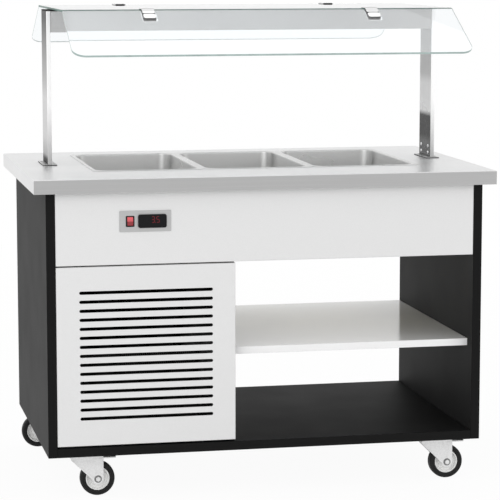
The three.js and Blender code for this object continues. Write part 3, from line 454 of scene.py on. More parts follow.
def make_finish(name):
    colours = settings("colours")
    if name in PLAIN_FINISHES:
        key, roughness, metallic, grain, shade, relief, shine = PLAIN_FINISHES[name]
        return surface(name, getattr(colours, key), roughness, metallic, grain, shade,
                       0.05 if metallic else 0.02, relief, **{SPECULAR: shine})
    # Painted reflections and painted highlights on the posts and the beam.
    if name in PAINTED_LIGHT_FINISHES:
        key, node, axis, roughness, metallic, grain, shade, shine, levels = PAINTED_LIGHT_FINISHES[name]
        stops = [(position, times(getattr(colours, key), factor)) for position, factor in levels]
        return painted_light_grade(name, stops, node, axis, roughness, metallic, grain, shade,
                      BRUSHED_RELIEF, **{SPECULAR: shine})
    # Painted highlight on the rocker's upper part fading into painted shade on its lower part.
    if name == "rocker red":
        upper, lower = tuple(colours.rocker_red), tuple(colours.rocker_painted_shade)
        stops = ((0.1, lower), (0.4, lower), (0.55, times(upper, 0.8)), (0.8, upper))
        return painted_light_grade(name, stops, "switch_rocker", "Z", 0.2, 0.0, 300, 0.05,
                      **{"Coat Weight": 0.5, "Coat Roughness": 0.08})
    if name == "display red":
        tone = tuple(colours.display_red)
        return surface(name, tone, 0.4, shade=0.12, **{
            "Emission Color": (*tone, 1.0), "Emission Strength": 0.3, SPECULAR: 0.1})
    if name == "glass":
        return glass_pane(name, tuple(colours.glass))
    raise ValueError(f"no finish is named {name}")


def finish(name):
    """The finish of that name, made the first time it is asked for."""
    return bpy.data.materials.get(name) or make_finish(name)


# ---- Modelling helpers -----------------------------------------------------------------------


def new_verts(bm, before):
    return [v for v in bm.verts if v not in before]


def merge_new(bm, before):
    bmesh.ops.remove_doubles(bm, verts=new_verts(bm, before), dist=MERGE)


def verts_in(geom):
    return [item for item in geom if isinstance(item, bmesh.types.BMVert)]


def edges_in(geom):
    return [item for item in geom if isinstance(item, bmesh.types.BMEdge)]


def middle(low, high):
    return (Vector(low) + Vector(high)) / 2


def span(node):
    """A node's lowest and highest corners."""
    low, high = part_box(node)
    return Vector(low), Vector(high)


def at(x, y, z, facing=TOP):
    return Matrix.Translation((x, y, z)) @ facing


def on_side(low, high, facing):
    """The middle of the side of a box that is seen from the top, the front or the back."""
    x, y, z = middle(low, high)
    if facing is TOP:
        return at(x, y, high.z)
    return at(x, low.y if facing is FRONT else high.y, z, facing)


def soften(bm, verts, radius, segments=2, sharpest=50):
    """Rounds the sharp edges among the given vertices."""
    kept = set(verts)
    edges = [e for e in bm.edges if kept.issuperset(e.verts) and e.is_manifold
             and e.calc_face_angle(0) > math.radians(sharpest)]
    bmesh.ops.bevel(bm, geom=edges, offset=radius, offset_type="OFFSET", segments=segments,
                    profile=0.5, affect="EDGES", material=-1, clamp_overlap=True)


def box(bm, low, high, radius=0.0, segments=2, place=TOP):
    """A box between two corners, turned by place and with its edges rounded."""
    low, high = Vector(low), Vector(high)
    verts = bmesh.ops.create_cube(bm, size=1.0)["verts"]
    bmesh.ops.scale(bm, vec=high - low, verts=verts)
    bmesh.ops.translate(bm, vec=(low + high) / 2, verts=verts)
    bmesh.ops.transform(bm, matrix=place, verts=verts)
    if radius:
        soften(bm, verts, radius, segments)


def rounded(size_u, size_v, radius, steps=6):
    """Points of a rectangle with round corners, about its middle."""
    points = []
    for corner, (side_u, side_v) in enumerate(((1, 1), (-1, 1), (-1, -1), (1, -1))):
        for step in range(steps + 1):
            angle = QUARTER * (corner + step / steps)
            points.append((side_u * (size_u / 2 - radius) + radius * math.cos(angle),
                           side_v * (size_v / 2 - radius) + radius * math.sin(angle)))
    return points


def arc(u, v, radius, start, end, steps):
    return [(u + radius * math.cos(start + (end - start) * i / steps),
             v + radius * math.sin(start + (end - start) * i / steps)) for i in range(steps + 1)]


def slot_outline(size_u, height, steps=5):
    """Points of a slot whose ends are half circles, about its middle."""
    radius = height / 2
    points = []
    for side, start in ((1, -QUARTER), (-1, QUARTER)):
        points += arc(side * (size_u / 2 - radius), 0, radius, start, start + math.pi, 2 * steps)
    return points


def moved(points, u, v):
    return [(a + u, b + v) for a, b in points]


def loop(bm, points, place, level=0.0):
    """A closed loop of edges through points in u and v."""
    verts = [bm.verts.new(place @ Vector((u, v, level))) for u, v in points]
    edges = [bm.edges.new((verts[i - 1], verts[i])) for i in range(len(verts))]
    return verts, edges


def stack(bm, rings, place, steps, first=True, closed=False):
    """Grows one skin through rounded rectangles, each (size_u, size_v, radius, level).

    It has a face at each end, or only at the last one without first. A closed one has neither.
    """
    before = set(bm.verts)
    if closed:
        rings = [*rings, rings[0]]
    size_u, size_v, radius, level = rings[0]
    verts, edges = loop(bm, rounded(size_u, size_v, radius, steps), place, level)
    if first and not closed:
        bm.faces.new(verts)
    for size_u, size_v, radius, level in rings[1:]:
        grown = bmesh.ops.extrude_edge_only(bm, edges=edges)["geom"]
        edges, made = edges_in(grown), set(verts_in(grown))
        verts = [next(e.other_vert(v) for e in v.link_edges if e.other_vert(v) in made)
                 for v in verts]
        for vert, (u, v) in zip(verts, rounded(size_u, size_v, radius, steps)):
            vert.co = place @ Vector((u, v, level))
    if closed:
        merge_new(bm, before)
    else:
        bm.faces.new(verts)


def turned(bm, profile, place, steps, closed=False):
    """Spins a profile of (radius, level) about w. An open one starts and ends on the axis."""
    before = set(bm.verts)
    verts = [bm.verts.new((radius, 0.0, level)) for radius, level in profile]
    edges = [bm.edges.new(pair) for pair in zip(verts, verts[1:])]
    if closed:
        edges.append(bm.edges.new((verts[-1], verts[0])))
    bmesh.ops.spin(bm, geom=verts + edges, cent=(0, 0, 0), axis=(0, 0, 1), dvec=(0, 0, 0),
                   angle=FULL_TURN, steps=steps, use_merge=True, use_duplicate=False)
    merge_new(bm, before)
    bmesh.ops.transform(bm, matrix=place, verts=new_verts(bm, before))


def rod(bm, place, radius, low, high, steps):
    """A plain round rod along w, from low to high."""
    turned(bm, [(0, low), (radius, low), (radius, high), (0, high)], place, steps)


def flat_plate(bm, outline, holes, thickness, place, edge=0.0):
    """A plate with its outer face at w = 0, its thickness towards -w, and holes through it."""
    before = set(bm.verts)
    edges = [e for points in (outline, *holes) for e in loop(bm, points, place)[1]]
    filled = bmesh.ops.triangle_fill(bm, edges=edges, use_beauty=True, use_dissolve=False)
    faces = [g for g in filled["geom"] if isinstance(g, bmesh.types.BMFace)]
    grown = bmesh.ops.extrude_face_region(bm, geom=faces)["geom"]
    bmesh.ops.translate(bm, vec=place.to_3x3() @ Vector((0, 0, -thickness)),
                        verts=verts_in(grown))
    if edge:
        soften(bm, new_verts(bm, before), edge)


def folded_sheet(bm, size_u, size_v, depth, sheet, bend, place, holes=(), cuts=(), steps=4):
    """A closed sheet whose four edges are folded towards -w, with holes through its face.

    cuts are the levels in v that part the face into bands, so that holes that stand above each
    other are filled round one by one.
    """
    before = set(bm.verts)
    half_u, half_v = size_u / 2 - bend, size_v / 2 - bend
    levels = [-half_v, *cuts, half_v]
    for low, high in zip(levels, levels[1:]):
        band = [(half_u, low), (half_u, high), (-half_u, high), (-half_u, low)]
        edges = loop(bm, band, TOP)[1]
        for points in holes:
            if low < points[0][1] < high:
                edges += loop(bm, points, TOP)[1]
        bmesh.ops.triangle_fill(bm, edges=edges, use_beauty=True, use_dissolve=False)
    merge_new(bm, before)

    def outermost(vert, outset):
        """Whether a vertex is on the rim in u, and in v, once that has moved out."""
        return (abs(vert.co.x) > half_u + outset - MERGE, abs(vert.co.y) > half_v + outset - MERGE)

    faces = list({face for vert in new_verts(bm, before) for face in vert.link_faces})
    open_edges = [edge for edge in {e for face in faces for e in face.edges} if edge.is_boundary]
    rim = [e for e in open_edges
           if any(all(outermost(v, 0)[along] for v in e.verts) for along in (0, 1))]
    cut = [e for e in open_edges if e not in rim]
    behind = Vector((0, 0, -sheet))
    copy = bmesh.ops.duplicate(bm, geom=faces)["geom"]
    bmesh.ops.translate(bm, vec=behind, verts=verts_in(copy))
    if cut:
        walls = bmesh.ops.extrude_edge_only(bm, edges=cut)["geom"]
        bmesh.ops.translate(bm, vec=behind, verts=verts_in(walls))
    angles = [QUARTER * step / steps for step in range(steps + 1)]
    inner = bend - sheet
    profile = [(bend * math.sin(a), bend * (math.cos(a) - 1)) for a in angles[1:]]
    profile += [(bend, -depth), (inner, -depth)]
    profile += [(inner * math.sin(a), inner * math.cos(a) - bend) for a in reversed(angles)]
    reached = 0.0
    for outset, level in profile:
        grown = bmesh.ops.extrude_edge_only(bm, edges=rim)["geom"]
        rim = edges_in(grown)
        for vert in verts_in(grown):
            beyond_u, beyond_v = outermost(vert, reached)
            if beyond_u:
                vert.co.x = math.copysign(half_u + outset, vert.co.x)
            if beyond_v:
                vert.co.y = math.copysign(half_v + outset, vert.co.y)
            vert.co.z = level
        reached = outset
    merge_new(bm, before)
    bmesh.ops.transform(bm, matrix=place, verts=new_verts(bm, before))


def settle(piece):
    """Makes the modifiers' result the piece's own mesh."""
    graph = bpy.context.evaluated_depsgraph_get()
    mesh = bpy.data.meshes.new_from_object(piece.evaluated_get(graph))
    piece.modifiers.clear()
    piece.data = mesh


def add_piece(bm, name, looks, stands_for=(), body="cabinet", sheet=0.0, outwards=None,
              edge=0.0, smooth=24):
    """Turns the drawn mesh into a piece. sheet thickens an open skin on its inner side."""
    bmesh.ops.recalc_face_normals(bm, faces=bm.faces)
    if outwards:
        largest = max(bm.faces, key=lambda face: face.calc_area())
        if largest.normal.dot(Vector(outwards)) < 0:
            bmesh.ops.reverse_faces(bm, faces=bm.faces)
    mesh = bpy.data.meshes.new(name)
    bm.to_mesh(mesh)
    bm.free()
    for look in [looks] if isinstance(looks, str) else looks:
        mesh.materials.append(finish(look))
    piece = bpy.data.objects.new(name, mesh)
    bpy.context.scene.collection.objects.link(piece)
    if sheet:
        thicken = piece.modifiers.new("Sheet", "SOLIDIFY")
        thicken.thickness = sheet
        thicken.offset = -1.0
        thicken.use_even_offset = True
    if edge:
        ease = piece.modifiers.new("Edge", "BEVEL")
        ease.width = edge
        ease.segments = 2
        ease.limit_method = "ANGLE"
        ease.angle_limit = math.radians(60)
    if sheet or edge:
        settle(piece)
    piece.data.shade_smooth()
    piece.data.set_sharp_from_angle(angle=math.radians(smooth))
    flatten = piece.modifiers.new("Flat faces stay flat", "WEIGHTED_NORMAL")
    flatten.weight = 100
    flatten.keep_sharp = True
    settle(piece)
    if stands_for:
        body = nodes[stands_for[0]]["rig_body"]
        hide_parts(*stands_for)
    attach(piece, body)
    return piece


def add_block(node, name, look, easing, segments=2):
    """A block with eased edges that stands for a node."""
    bm = bmesh.new()
    box(bm, *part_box(node), easing, segments)
    return add_piece(bm, name, look, [node])


def dress(node, look):
    """Gives a carried-over node its finish."""
    piece = nodes[node]
    if not piece.material_slots:
        piece.data.materials.append(None)
    for entry in piece.material_slots:
        entry.material = finish(look)


def add_look(piece, look, chosen):
    """Gives the faces that chosen(face) picks a second finish."""
    piece.data.materials.append(finish(look))
    for face in piece.data.polygons:
        if chosen(face):
            face.material_index = len(piece.data.materials) - 1


def screw(bm, place, radius, height):
    """A domed screw head with a round recess, standing on w = 0."""
    turned(bm, [(0, height * 0.45), (radius * 0.42, height * 0.45), (radius * 0.46, height * 0.95),
                (radius * 0.7, height * 0.85), (radius * 0.93, height * 0.45), (radius, 0),
                (0, 0)], place, steps=20)


def hexagon(bm, place, radius, height):
    """A hexagon head or nut, standing on w = 0."""
    easing = 0.0006
    verts = bmesh.ops.create_cone(bm, cap_ends=True, segments=6, radius1=radius,
                                  radius2=radius, depth=height)["verts"]
    bmesh.ops.translate(bm, vec=(0, 0, height / 2), verts=verts)
    bmesh.ops.transform(bm, matrix=place, verts=verts)
    soften(bm, verts, easing)


# ---- Cabinet ---------------------------------------------------------------------------------


class SALADBAR_OT_boards(bpy.types.Operator):
    """Black side, bottom and divider boards, the light shelf and its pins"""
    bl_idname = "saladbar.boards"
    bl_label = "Boards and shelf"

    def execute(self, context):
        sizes = settings("cabinet")
        for node in ("left_side_panel", "right_side_panel", "bottom_panel", "divider_panel"):
            # The bottom board gets the darker copy of the black board, painted shade in the bay.
            look = "bay floor" if node == "bottom_panel" else "black board"
            board = add_block(node, node + "_board", look, sizes.board_edge)
            add_look(board, "black edge", lambda face: abs(face.normal.y) > 0.3)
        add_block("shelf", "shelf_board", "light board", sizes.board_edge)
        low, high = span("shelf")
        radius, reach = sizes.pin_radius, sizes.pin_length
        collar, sheet, easing, shares = radius * 1.7, 0.0012, 0.0006, (0.12, 0.88)
        bm = bmesh.new()
        for x, facing in ((low.x, RIGHT), (high.x, LEFT)):
            for share in shares:
                y = low.y + share * (high.y - low.y)
                turned(bm, [(0, 0), (collar, 0), (collar, sheet), (radius, sheet),
                            (radius, reach - easing), (radius - easing, reach), (0, reach)],
                       at(x, y, low.z - radius, facing), steps=16)
        add_piece(bm, "shelf_pins", "chrome")
        return {"FINISHED"}


def add_tray(node, facing, holes, cuts=()):
    """A folded panel. Its holes are drawn about the middle of its outer face."""
    sizes = settings("cabinet")
    low, high = span(node)
    bm = bmesh.new()
    folded_sheet(bm, high.x - low.x, high.z - low.z, high.y - low.y, sizes.sheet, sizes.bend,
                 on_side(low, high, facing), holes, cuts)
    sheet = add_piece(bm, node + "_sheet", "light panel", [node], edge=0.00035)
    # Painted shade on the louvre panels' inner faces, so that the slots look dark.
    if cuts:
        inwards = 1 if facing is FRONT else -1
        add_look(sheet, "panel inside", lambda face: face.normal.y * inwards > 0.5)


def hole_for(node, panel, size, facing, radius=0.0004, steps=1):
    """The outline of a node's hole, about the middle of the panel that it goes through."""
    away = middle(*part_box(node)) - middle(*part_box(panel))
    across = away.x if facing is FRONT else -away.x
    return moved(rounded(*size, radius, steps), across, away.z)


class SALADBAR_OT_panels(bpy.types.Operator):
    """Folded aprons and louvre panels at the front and the back"""
    bl_idname = "saladbar.panels"
    bl_label = "Aprons and louvre panels"

    def execute(self, context):
        sizes = settings("cabinet")
        low, high = span("front_louvre_panel")
        levels = [sizes.lowest_slot + index * sizes.slot_pitch - (low.z + high.z) / 2
                  for index in range(sizes.slot_count)]
        slots = [moved(slot_outline(sizes.slot_length, sizes.slot_height), 0.0, level)
                 for level in levels]
        cuts = [level + sizes.slot_pitch / 2 for level in levels[:-1]]
        add_tray("front_louvre_panel", FRONT, slots, cuts)
        rows = sizes.rear_slot_count
        add_tray("rear_louvre_panel", REAR, slots[:rows], cuts[:rows - 1])
        add_tray("front_apron", FRONT, [
            hole_for("switch_bezel", "front_apron", SWITCH_HOLE, FRONT),
            hole_for("thermostat", "front_apron", CONTROLLER_HOLE, FRONT)])
        add_tray("rear_apron", REAR, [hole_for("power_inlet", "rear_apron", INLET_HOLE, REAR)])
        return {"FINISHED"}


# ---- Controls --------------------------------------------------------------------------------

# The lit strokes of each figure: top, upper left, upper right, middle, lower left, lower right,
# bottom.
FIGURES = {"3": "1011011", "5": "1101011"}
READING = "35"


def add_digits(bm, text, place, height, width, stroke, gap):
    """Seven-stroke figures side by side, standing on w = 0 about the middle of place."""
    start = -(len(text) * width + (len(text) - 1) * gap) / 2
    raised, inset = 0.00012, stroke * 0.75
    for index, figure in enumerate(text):
        left = start + index * (width + gap)
        right = left + width
        across = (left + inset, right - inset)
        bars = [
            (*across, height / 2 - stroke, height / 2),
            (left, left + stroke, inset / 2, height / 2 - inset),
            (right - stroke, right, inset / 2, height / 2 - inset),
            (*across, -stroke / 2, stroke / 2),
            (left, left + stroke, inset - height / 2, -inset / 2),
            (right - stroke, right, inset - height / 2, -inset / 2),
            (*across, -height / 2, stroke - height / 2),
        ]
        for lit, (u0, u1, v0, v1) in zip(FIGURES[figure], bars):
            if lit == "1":
                box(bm, (u0, v0, 0), (u1, v1, raised), place=place)


class SALADBAR_OT_controls(bpy.types.Operator):
    """Control plate with the power switch and the temperature controller"""
    bl_idname = "saladbar.controls"
    bl_label = "Controls"

    def execute(self, context):
        sizes = settings("controls")
        low, high = span("control_plate")
        size = high - low
        holes = [hole_for("switch_bezel", "control_plate", SWITCH_HOLE, FRONT, 0.0006, 2),
                 hole_for("thermostat", "control_plate", CONTROLLER_HOLE, FRONT, 0.0006, 2)]
        bm = bmesh.new()
        flat_plate(bm, rounded(size.x, size.z, 0.0018, 4), holes, size.y,
                   on_side(low, high, FRONT))
        add_piece(bm, "control_plate_sheet", "plate steel", ["control_plate"],
                  edge=sizes.plate_edge)
        self.add_switch(low.y - 0.0003)
        self.add_controller()
        return {"FINISHED"}

    def add_switch(self, plate_front):
        """The black frame with its hollow body, and the rocker in it."""
        corner = settings("controls").bezel_corner
        low, high = span("switch_bezel")
        size_u, size_v = high.x - low.x, high.z - low.z
        rim, side_rim, body = 0.0024, 0.0036, 0.0012
        inner_u, inner_v = size_u - 2 * side_rim, size_v - 2 * rim
        outer_u, outer_v = inner_u + 2 * body, inner_v + 2 * body
        back, bottom = low.y - plate_front, low.y - high.y
        bm = bmesh.new()
        stack(bm, [
            (inner_u, inner_v, 0.0006, bottom + rim),
            (inner_u, inner_v, 0.0006, -0.0008),
            (inner_u + 0.0008, inner_v + 0.0008, 0.001, -0.0001),
            (inner_u + 0.0016, inner_v + 0.0016, 0.0012, 0),
            (size_u - 0.0016, size_v - 0.0016, corner - 0.0006, 0),
            (size_u - 0.0004, size_v - 0.0004, corner - 0.0002, -0.0005),
            (size_u, size_v, corner, -0.0011),
            (size_u, size_v, corner, back),
            (outer_u, outer_v, 0.0008, back),
            (outer_u, outer_v, 0.0008, bottom),
        ], on_side(low, high, FRONT), steps=4)
        add_piece(bm, "switch_frame", "black plastic", ["switch_bezel"])

        bm = bmesh.new()
        bm.from_mesh(nodes["switch_rocker"].data)
        bmesh.ops.remove_doubles(bm, verts=bm.verts, dist=MERGE)
        bmesh.ops.dissolve_limit(bm, angle_limit=math.radians(1), verts=bm.verts,
                                 edges=bm.edges)
        soften(bm, bm.verts[:], 0.0006, 3, sharpest=30)
        add_piece(bm, "switch_rocker_button", "rocker red", ["switch_rocker"])

    def add_controller(self):
        """The controller's rounded housing, its sunk window and the figures behind it."""
        sizes = settings("controls")
        low, high = span("thermostat")
        size_u, size_v, proud = high.x - low.x, high.z - low.z, 0.006
        corner, sunk, body_u, body_v = sizes.face_corner, 0.0005, 0.070, 0.028
        window_u, window_v = size_u - 2 * sizes.window_inset, size_v - 2 * sizes.window_inset
        place = on_side(low, high, FRONT)
        bm = bmesh.new()
        stack(bm, [
            (body_u, body_v, 0.001, low.y - high.y),
            (body_u, body_v, 0.001, -proud),
            (size_u - 0.0006, size_v - 0.0006, corner, -proud),
            (size_u, size_v, corner + 0.0003, -proud + 0.0006),
            (size_u, size_v, corner + 0.0003, -0.0021),
            (size_u - 0.0006, size_v - 0.0006, corner, -0.0009),
            (size_u - 0.0022, size_v - 0.0022, corner - 0.0008, -0.0002),
            (size_u - 0.0036, size_v - 0.0036, corner - 0.0014, 0),
            (window_u, window_v, corner - 0.002, 0),
            (window_u - 0.0006, window_v - 0.0006, corner - 0.0022, -sunk),
        ], place, steps=8)
        add_piece(bm, "controller_housing", "display black",
                  ["thermostat"])
        bm = bmesh.new()
        reading = place @ Matrix.Translation((0.0085, 0.0045, -sunk))
        add_digits(bm, READING, reading, sizes.digit_height, sizes.digit_width,
                   sizes.digit_stroke, gap=0.0042)
        point = reading @ Matrix.Translation((0, 0.0008 - sizes.digit_height / 2, 0))
        rod(bm, point, 0.0011, 0, 0.0001, 12)
        add_piece(bm, "controller_digits", "display red")


class SALADBAR_OT_inlet(bpy.types.Operator):
    """Power inlet in the rear apron, with its pins and two screws"""
    bl_idname = "saladbar.inlet"
    bl_label = "Power inlet"

    def execute(self, context):
        low, high = span("power_inlet")
        size_u, size_v = high.x - low.x, high.z - low.z
        wall, flange, proud = 0.003, 0.006, 0.003
        body_u, body_v = size_u - 2 * flange, size_v - 2 * flange
        mouth_u, mouth_v = body_u - 2 * wall, body_v - 2 * wall
        place, bottom = on_side(low, high, REAR), low.y - high.y
        bm = bmesh.new()
        stack(bm, [
            (mouth_u, mouth_v, 0.003, bottom + wall),
            (mouth_u, mouth_v, 0.003, -0.001),
            (mouth_u + 0.001, mouth_v + 0.001, 0.0035, 0),
            (size_u - 0.002, size_v - 0.002, 0.004, 0),
            (size_u, size_v, 0.005, -0.001),
            (size_u, size_v, 0.005, -proud),
            (body_u, body_v, 0.002, -proud),
            (body_u, body_v, 0.002, bottom),
        ], place, steps=5)
        add_piece(bm, "inlet_socket", "black plastic", ["power_inlet"])
        bm = bmesh.new()
        half_u, half_v, tip = 0.001, 0.002, -0.006
        for u, v in ((-0.007, -0.002), (0.007, -0.002), (0, 0.0025)):
            box(bm, (u - half_u, v - half_v, bottom + wall), (u + half_u, v + half_v, tip),
                0.0004, place=place)
        head, edge = 0.0026, 0.0045
        for side in SIDES:
            spot = place @ Matrix.Translation((side * (size_u / 2 - edge), 0, -0.0012))
            screw(bm, spot, head, 0.0012)
        add_piece(bm, "inlet_pins", "chrome")
        return {"FINISHED"}


# ---- Worktop and well ------------------------------------------------------------------------


class SALADBAR_OT_worktop(bpy.types.Operator):
    """Brushed worktop with turned-down edges and the well's opening"""
    bl_idname = "saladbar.worktop"
    bl_label = "Worktop"

    def execute(self, context):
        sizes = settings("well")
        low, high = span("worktop")
        size, away = high - low, middle(*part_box("pan_middle")) - middle(low, high)
        opening = moved(rounded(sizes.opening_x, sizes.opening_y, sizes.opening_corner, 4),
                        away.x, away.y)
        bm = bmesh.new()
        folded_sheet(bm, *size, sizes.worktop_sheet, sizes.worktop_bend,
                     on_side(low, high, TOP), [opening], steps=5)
        sheet = add_piece(bm, "worktop_sheet", "worktop steel", ["worktop"],
                          edge=0.0003)
        # Painted shade: the front and back edges take a darker copy of the steel.
        add_look(sheet, "worktop edge", lambda face: abs(face.normal.y) > 0.96)
        return {"FINISHED"}


class SALADBAR_OT_well(bpy.types.Operator):
    """Well tub, its insulation and cooling coil, and the bars between the pans"""
    bl_idname = "saladbar.well"
    bl_label = "Cold well"

    def execute(self, context):
        dress("well_tub", "pan steel")
        dress("well_insulation", "foam")
        dress("evaporator_coil", "copper")
        for node in ("pan_bar_left", "pan_bar_right"):
            add_block(node, node + "_rail", "pan steel", 0.0012, 3)
        return {"FINISHED"}


class SALADBAR_OT_pans(bpy.types.Operator):
    """Three food pans with flat rims, round corners and leaning walls"""
    bl_idname = "saladbar.pans"
    bl_label = "Food pans"

    def execute(self, context):
        sizes = settings("well")
        sheet, sole, lip = sizes.pan_sheet, sizes.pan_floor, sizes.pan_rim_corner
        corner, draft, floor_corner, arc_steps = sizes.pan_corner, sizes.pan_draft, 0.012, 5
        for node in ("pan_left", "pan_middle", "pan_right"):
            low, high = span(node)
            size_u, size_v, tall = high - low
            inside = 2 * (sizes.pan_rim + sheet)
            wall_u, wall_v = size_u - inside, size_v - inside
            depth = tall - sheet
            turn = sole - depth     # the level at which the wall turns into the floor
            lean = 2 * draft * -turn / depth
            rings = [
                (size_u, size_v, lip, -0.0011),
                (size_u, size_v, lip, -0.0007),
                (size_u - 0.0007, size_v - 0.0007, lip - 0.0003, -0.0001),
                (size_u - 0.0018, size_v - 0.0018, lip - 0.0008, 0),
                (wall_u + 0.006, wall_v + 0.006, corner + 0.003, 0),
                (wall_u + 0.0028, wall_v + 0.0028, corner + 0.0014, -0.0005),
                (wall_u + 0.0008, wall_v + 0.0008, corner + 0.0004, -0.0022),
                (wall_u, wall_v, corner, -0.0045),
                (wall_u - lean, wall_v - lean, corner - draft / 2, turn),
            ]
            for step in range(1, arc_steps + 1):
                angle = QUARTER * step / arc_steps
                inset = lean + 2 * sole * (1 - math.cos(angle))
                rings.append((wall_u - inset, wall_v - inset,
                              max(corner - inset / 2, floor_corner),
                              turn - sole * math.sin(angle)))
            bm = bmesh.new()
            stack(bm, rings, on_side(low, high, TOP), steps=10, first=False)
            add_piece(bm, node + "_basin", "pan steel", [node], sheet=sheet,
                      outwards=(0, 0, 1))
        return {"FINISHED"}


# ---- Glass guard -----------------------------------------------------------------------------


class SALADBAR_OT_posts(bpy.types.Operator):
    """Flat guard posts with their feet, screws and glass seats"""
    bl_idname = "saladbar.posts"
    bl_label = "Guard posts"

    def execute(self, context):
        sizes = settings("guard")
        wall, corner, play = sizes.post_wall, sizes.post_corner, 0.0006
        across, levels, head = 0.036, (0.012, 0.032), 0.0022    # where the screws stand
        for side, inner in (("left", 1), ("right", -1)):
            low, high = span("guard_post_" + side)
            size_u, size_v = high.x - low.x, high.y - low.y
            bore_u, bore_v = size_u - 2 * wall, size_v - 2 * wall
            x, y, _ = middle(low, high)
            bm = bmesh.new()
            stack(bm, [
                (size_u, size_v, corner, low.z),
                (size_u, size_v, corner, high.z),
                (bore_u, bore_v, corner - wall, high.z),
                (bore_u, bore_v, corner - wall, low.z),
            ], at(x, y, 0), steps=4, closed=True)
            # The tube carries painted reflections up its height, with a painted highlight on its
            # narrow faces.
            tube = add_piece(bm, f"guard_post_{side}_tube", side + " post steel",
                             ["guard_post_" + side])
            add_look(tube, "post edge", lambda face: abs(face.normal.y) > 0.5)

            bm = bmesh.new()
            face, facing = x + inner * size_u / 2, RIGHT if inner > 0 else LEFT
            for v in (-across, across):
                for level in levels:
                    screw(bm, at(face, y + v, low.z + level, facing), sizes.screw_radius, head)
            add_piece(bm, f"guard_post_{side}_screws", "chrome")

            self.add_foot(side, x, y, bore_u - play, bore_v - play)
            seat = "glass_seat_" + side
            add_block(seat, seat + "_pad", "rubber", 0.0007)
        return {"FINISHED"}

    def add_foot(self, side, x, y, tongue_u, tongue_v):
        """The foot's plate with its screws, the tongue in the post and the gasket below."""
        node, gasket = "post_foot_" + side, settings("guard").gasket
        low, high = span(node)
        size_u, size_v, plate, corner = high.x - low.x, high.y - low.y, 0.003, 0.003
        place, screw_u, screw_v = at(x, y, low.z), 0.014, 0.042
        bm = bmesh.new()
        stack(bm, [
            (size_u, size_v, corner, gasket),
            (size_u, size_v, corner, plate - 0.0005),
            (size_u - 0.001, size_v - 0.001, corner - 0.0005, plate),
            (tongue_u, tongue_v, 0.0006, plate),
            (tongue_u, tongue_v, 0.0006, high.z - low.z),
        ], place, steps=4)
        for u, v in CORNERS:
            spot = place @ Matrix.Translation((u * screw_u, v * screw_v, plate - 0.0002))
            screw(bm, spot, 0.0038, 0.0016)
        add_piece(bm, node + "_plate", "plate steel", [node])
        bm = bmesh.new()
        stack(bm, [(size_u, size_v, corner, 0), (size_u, size_v, corner, gasket - 0.0001)],
              place, steps=4)
        add_piece(bm, node + "_gasket", "rubber")


class SALADBAR_OT_beam(bpy.types.Operator):
    """Light beam between the posts, open below, with its diffuser"""
    bl_idname = "saladbar.beam"
    bl_label = "Light beam"

    def execute(self, context):
        sheet, bend = 0.0015, 0.002
        low, high = span("light_beam")
        bm = bmesh.new()
        folded_sheet(bm, *(high - low), sheet, bend, on_side(low, high, TOP))
        # The beam's sheet carries a painted reflection along its length.
        add_piece(bm, "light_beam_sheet", "beam steel", ["light_beam"],
                  edge=0.0003)
        add_block("light_diffuser", "light_diffuser_cover", "diffuser", 0.0006)
        return {"FINISHED"}


def add_pane(name, outline, thickness, place, node, edge_look):
    """A pane with clear faces and cut edges in edge_look, and an upper edge darkened with painted
    shade.
    """
    bm = bmesh.new()
    flat_plate(bm, outline, [], thickness, place @ Matrix.Translation((0, 0, thickness / 2)))
    piece = add_piece(bm, name, ["glass", edge_look, "top pane edge"], [node],
                      edge=settings("guard").glass_polish, smooth=2)
    up, axis = place.to_3x3() @ Vector((0, 1, 0)), place.to_3x3() @ Vector((0, 0, 1))
    for face in piece.data.polygons:
        if abs(face.normal.dot(axis)) > 0.99:
            face.material_index = 0
        else:
            face.material_index = 2 if face.normal.dot(up) > 0.5 else 1


# The front and the rear of the guard, each with its turn about the upright.
ENDS = (("front", Matrix.Identity(4)), ("rear", Matrix.Rotation(math.pi, 4, "Z")))


class SALADBAR_OT_glass(bpy.types.Operator):
    """Flat top pane and two sloped panes with round lower corners"""
    bl_idname = "saladbar.glass"
    bl_label = "Glass panes"

    def execute(self, context):
        sizes = settings("guard")
        low, high = span("glass_top")
        centre = middle(low, high)
        size_u, size_v, thickness = high.x - low.x, high.y - low.y, high.z - low.z
        # Every cut edge of the top pane takes the darker edge colour: painted shade.
        add_pane("glass_top_pane", rounded(size_u, size_v, 0.0015, 2), thickness, at(*centre),
                 "glass_top", "top pane edge")
        corner, half = sizes.wing_corner, size_u / 2
        level = corner - sizes.wing_reach
        outline = [(half, 0), (-half, 0)]
        for side, start in ((-1, math.pi), (1, 1.5 * math.pi)):
            outline += arc(side * (half - corner), level, corner, start, start + QUARTER, 12)
        for end, turn in ENDS:
            place = (at(centre.x, 0, centre.z) @ turn
                     @ Matrix.Translation((0, -size_v / 2 - sizes.joint, 0))
                     @ Matrix.Rotation(sizes.wing_angle, 4, "X"))
            add_pane(f"glass_{end}_pane", outline, thickness, place, "glass_" + end,
                     "sloped pane edge")
        return {"FINISHED"}


